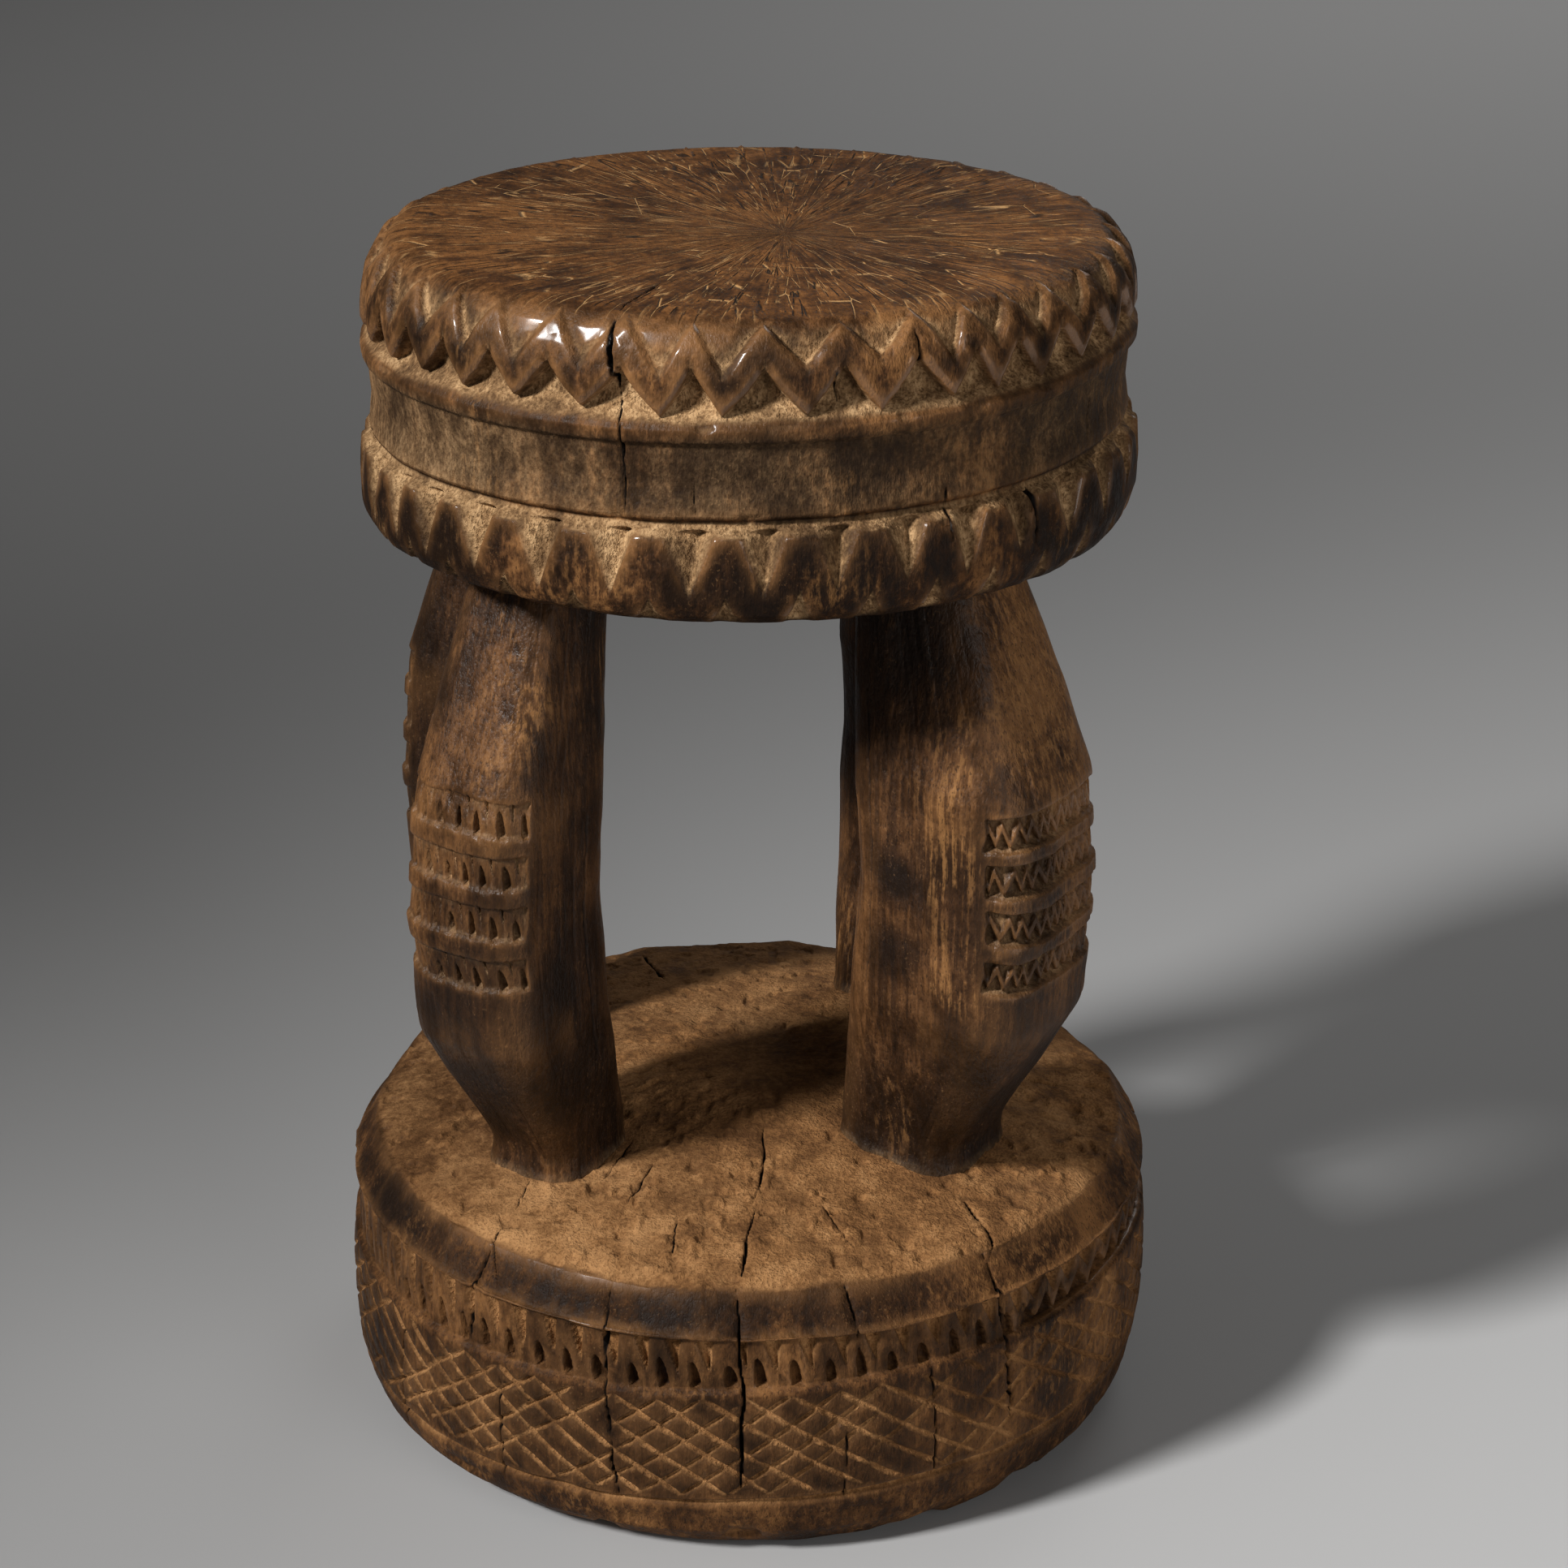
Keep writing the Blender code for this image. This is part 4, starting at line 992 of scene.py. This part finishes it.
def carveLeg(legs, name, seed):
    leg = legs["each"][name]
    bearing, reach, girth = leg["bearing"], leg["reach"], leg["girth"]
    steps = legs["steps"]
    # rows: a cap on the dome, the shaft, a cap under the seat
    shaft = np.arange(0.0, 1.0001, 0.0030 / detail ** 0.5)
    share = np.concatenate([[0.0] * 5, shaft, [1.0] * 5])
    inset = np.concatenate([np.linspace(0.0, 0.9, 5), np.ones(len(shaft)), np.linspace(0.9, 0.0, 5)])[None, :]
    level = legs["footHeight"] + (legs["headHeight"] - legs["footHeight"]) * share
    fine = np.arange(60.0, 400.0, 0.5)
    kernel = np.exp(-0.5 * (np.arange(-40, 41) * 0.5 / legs["bend"]) ** 2)
    kernel /= kernel.sum()

    def rounded(line):
        return np.convolve(np.pad(line, 40, mode="edge"), kernel, "valid")

    heights, bows, widths, depths = zip(*legs["stations"])
    heights = [z + (leg["lift"] if 150.0 < z < 300.0 else 0.0) for z in heights]
    bow, wide, thick = [np.interp(level, fine, rounded(np.interp(fine, heights, line)))[None, :]
                        for line in (bows, widths, depths)]
    flare = bell(level - legs["footHeight"], 4.0) + bell(level - legs["headHeight"], 4.0)
    wide, thick = wide * girth + flare, thick * girth + flare

    angle = (np.arange(steps) * 2.0 * math.pi / steps)[:, None] + math.pi / 2.0
    power = legs["squareness"]
    out, over = np.cos(angle), np.sin(angle)
    polar = (np.abs(out / thick) ** power + np.abs(over / wide) ** power) ** (-1.0 / power)
    # distance across the outer face, measured on the section in the middle of the panel
    middle = int(np.argmin(np.abs(level - legs["panelMiddle"])))
    edge = np.hypot(np.diff(np.append(out[:, 0] * polar[:, middle], out[0, 0] * polar[0, middle])),
                    np.diff(np.append(over[:, 0] * polar[:, middle], over[0, 0] * polar[0, middle])))
    walk = np.concatenate([[0.0], np.cumsum(edge)[:-1]])
    facing = int(np.argmin(np.abs((angle[:, 0] + math.pi) % (2.0 * math.pi) - math.pi)))
    across = walk - walk[facing]
    girthMm = edge.sum()
    across = ((across + girthMm / 2) % girthMm - girthMm / 2)[:, None]

    relief = np.zeros(polar.shape)
    dust = np.zeros(polar.shape)
    half = legs["panelHalf"] * girth
    inPanel = smooth(half + 0.6, half - 0.6, np.abs(across + 0.6 * lumps(level / 5.0, 0.0, 0.0, seed)))
    for row, foot in enumerate(leg["rowFeet"]):
        foot = foot + 0.8 * lumps(across / 14.0, row, 0.0, seed + 1)
        part = (level[None, :] - foot) / legs["rowHeight"]
        shifted, rowSeed = across + 3.0 * row, seed + 2 + row
        if leg["slots"]:
            above, below = slottedRow(shifted, part, legs["slotPitch"], *legs["slotShape"], rowSeed)
        else:
            above, below = zigzagRow(shifted, part, legs["zigzagPitch"], *legs["zigzagShape"], rowSeed)
        sunk = inPanel * smooth(-0.03, 0.09, part) * (1.0 - smooth(0.93, 1.03, part))
        relief = relief + sunk * (1.3 + legs["rowDepth"] * np.maximum(0.8 * above, below))
        foothold = smooth(0.14, 0.02, part) * sunk
        dust = dust + sunk * leg["dusty"] * above + 0.3 * foothold
    plain = 1.1 * np.abs(lumps(across / 21.0, level / 34.0, 0.0, seed + 8))
    plain = plain + 0.22 * lumps(across / 5.0, level / 10.0, 0.0, seed + 9)
    grooves = 0.25 * smooth(0.4, 0.8, lumps(across / 1.6, level / 45.0, 0.0, seed + 10))
    split = np.zeros(polar.shape)
    for place, low, high, halfWidth, deep in leg["cracks"]:
        line = place * girth + 1.2 * lumps(level / 18.0, place, 0.0, seed + 11)
        line = line + 0.4 * lumps(level / 4.0, place, 0.0, seed + 12)
        taper = unit((level - low) / 12.0) * unit((high - level) / 12.0)
        near = unit(1.0 - np.abs(across - line) / (halfWidth * taper + 1e-6))
        split = np.maximum(split, deep * taper * near)
    wear, hollow = edgesOf(relief, int(4 * detail) + 1, 3)
    corner = smooth(0.75, 1.0, np.abs(2.0 * out * over)) * 0.20
    lowElbow, highElbow = legs["elbows"]
    elbows = bell(level - lowElbow, 9.0) + bell(level - highElbow, 9.0)
    wear = unit(0.6 * wear + corner + 0.3 * elbows[None, :] * (out > 0))
    settled = smooth(legs["footHeight"] + 5.0, legs["footHeight"], level)[None, :] * 0.25
    dust = unit(dust + 0.4 * hollow + settled)

    size = (polar - relief - plain - grooves - split) * inset
    facingTurn = math.radians(bearing + leg["turn"])
    outward, sideways = out * size, over * size
    centre = np.array([math.sin(math.radians(bearing)), -math.cos(math.radians(bearing))])
    px = centre[0] * (reach + bow) + math.sin(facingTurn) * outward + math.cos(facingTurn) * sideways
    py = centre[1] * (reach + bow) - math.cos(facingTurn) * outward + math.sin(facingTurn) * sideways
    ground = domeHeight(np.hypot(px, py)) - legs["sink"]
    pz = ground + (legs["headHeight"] - ground) * share[None, :]
    points3 = np.stack([px, py, pz], axis=2)
    points3[:, 0, :] = points3[:, 0, :].mean(axis=0)
    points3[:, -1, :] = points3[:, -1, :].mean(axis=0)
    # lighter and darker places listed per leg: stains and blotches of the wood, and painted light and shade
    # on the front legs' lit and shaded sides
    stainAndPaintedLight = np.full(polar.shape, -0.15)
    for lighter, nearAcross, spanAcross, nearLevel, spanLevel in leg["stainsAndPaintedLight"]:
        away = -((across - nearAcross) / spanAcross) ** 2 - ((level - nearLevel) / spanLevel) ** 2
        stainAndPaintedLight = stainAndPaintedLight + lighter * np.exp(away)
    noTop = np.zeros(polar.shape)
    fields = {"dust": dust, "wear": wear, "crack": unit(split / 1.6), "top": noTop, "stainAndPaintedLight": stainAndPaintedLight}
    blankRadius = np.where(inset[0] > 0, 20.0 * inset[0] + 1e-3, 0.0)
    blank = turnBlank(name, blankRadius, level + np.arange(len(level)) * 0.01, steps)
    carveBlank(blank, points3, fields, legs["triangles"])
    blank.data.materials.append(legWood)
    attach(blank, "root")
    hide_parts(leg["node"])
    return blank


for number, name in enumerate(legs["each"]):
    carveLeg(legs, name, 70 + 20 * number)


# floor, light and camera

stage = {
    "floor": (0.40, 0.396, 0.392),
    "world": 0.08,
    # name, place, point it is turned to, size, power, spread in degrees
    "lamps": [
        ("keyLight", (-2.35, -1.60, 2.45), (0.85, -0.25, 0.10), 0.6, 14.0, 38.0),
        ("fillLight", (1.5, -1.9, 0.9), (0.0, 0.0, 0.2), 1.6, 16.0, 180.0),
        ("backLight", (1.4, 3.4, 2.3), (0.9, 2.6, 0.0), 2.0, 12.0, 110.0),
        ("rimLight", (0.9, 1.6, 1.6), (0.0, 0.0, 0.3), 1.2, 3.0, 180.0),
    ],
    "eye": (0.0, -1.1658, 0.7236),
    "lookDown": 22.8,
    "lens": 80.1,
    "shift": 0.0228,
}


def lamp(name, place, aim, size, power, spread):
    bpy.ops.object.light_add(type="AREA", location=place)
    light = bpy.context.object
    light.name = name
    light.data.shape = "DISK"
    light.data.size = size
    light.data.energy = power
    light.data.spread = math.radians(spread)
    way = np.array(aim) - np.array(place)
    tip = math.acos(-way[2] / np.linalg.norm(way))
    light.rotation_euler = (tip, 0.0, math.atan2(way[0], -way[1]) + math.pi)


bpy.ops.object.select_all(action="DESELECT")
bpy.ops.mesh.primitive_plane_add(size=14.0, location=(0.0, 2.0, 0.0))
floor = bpy.context.object
floor.name = "floor"
floorPaint = bpy.data.materials.new("floor_paper")
floorPaint.use_nodes = True
floorShader = floorPaint.node_tree.nodes["Principled BSDF"]
floorShader.inputs["Base Color"].default_value = (*stage["floor"], 1.0)
floorShader.inputs["Roughness"].default_value = 0.9
floor.data.materials.append(floorPaint)
for described in stage["lamps"]:
    lamp(*described)
world = bpy.context.scene.world or bpy.data.worlds.new("studio")
bpy.context.scene.world = world
world.use_nodes = True
backdrop = world.node_tree.nodes["Background"]
backdrop.inputs["Color"].default_value = (1.0, 0.99, 0.98, 1.0)
backdrop.inputs["Strength"].default_value = stage["world"]
bpy.context.scene.view_settings.view_transform = "Standard"

bpy.ops.object.camera_add(location=stage["eye"], rotation=(math.radians(90.0 - stage["lookDown"]), 0.0, 0.0))
camera = bpy.context.object
camera.name = "photoCamera"
camera.data.lens = stage["lens"]
camera.data.sensor_width = 36.0
camera.data.shift_x = stage["shift"]
camera.data.clip_end = 50.0
bpy.context.scene.camera = camera
print("stage set")
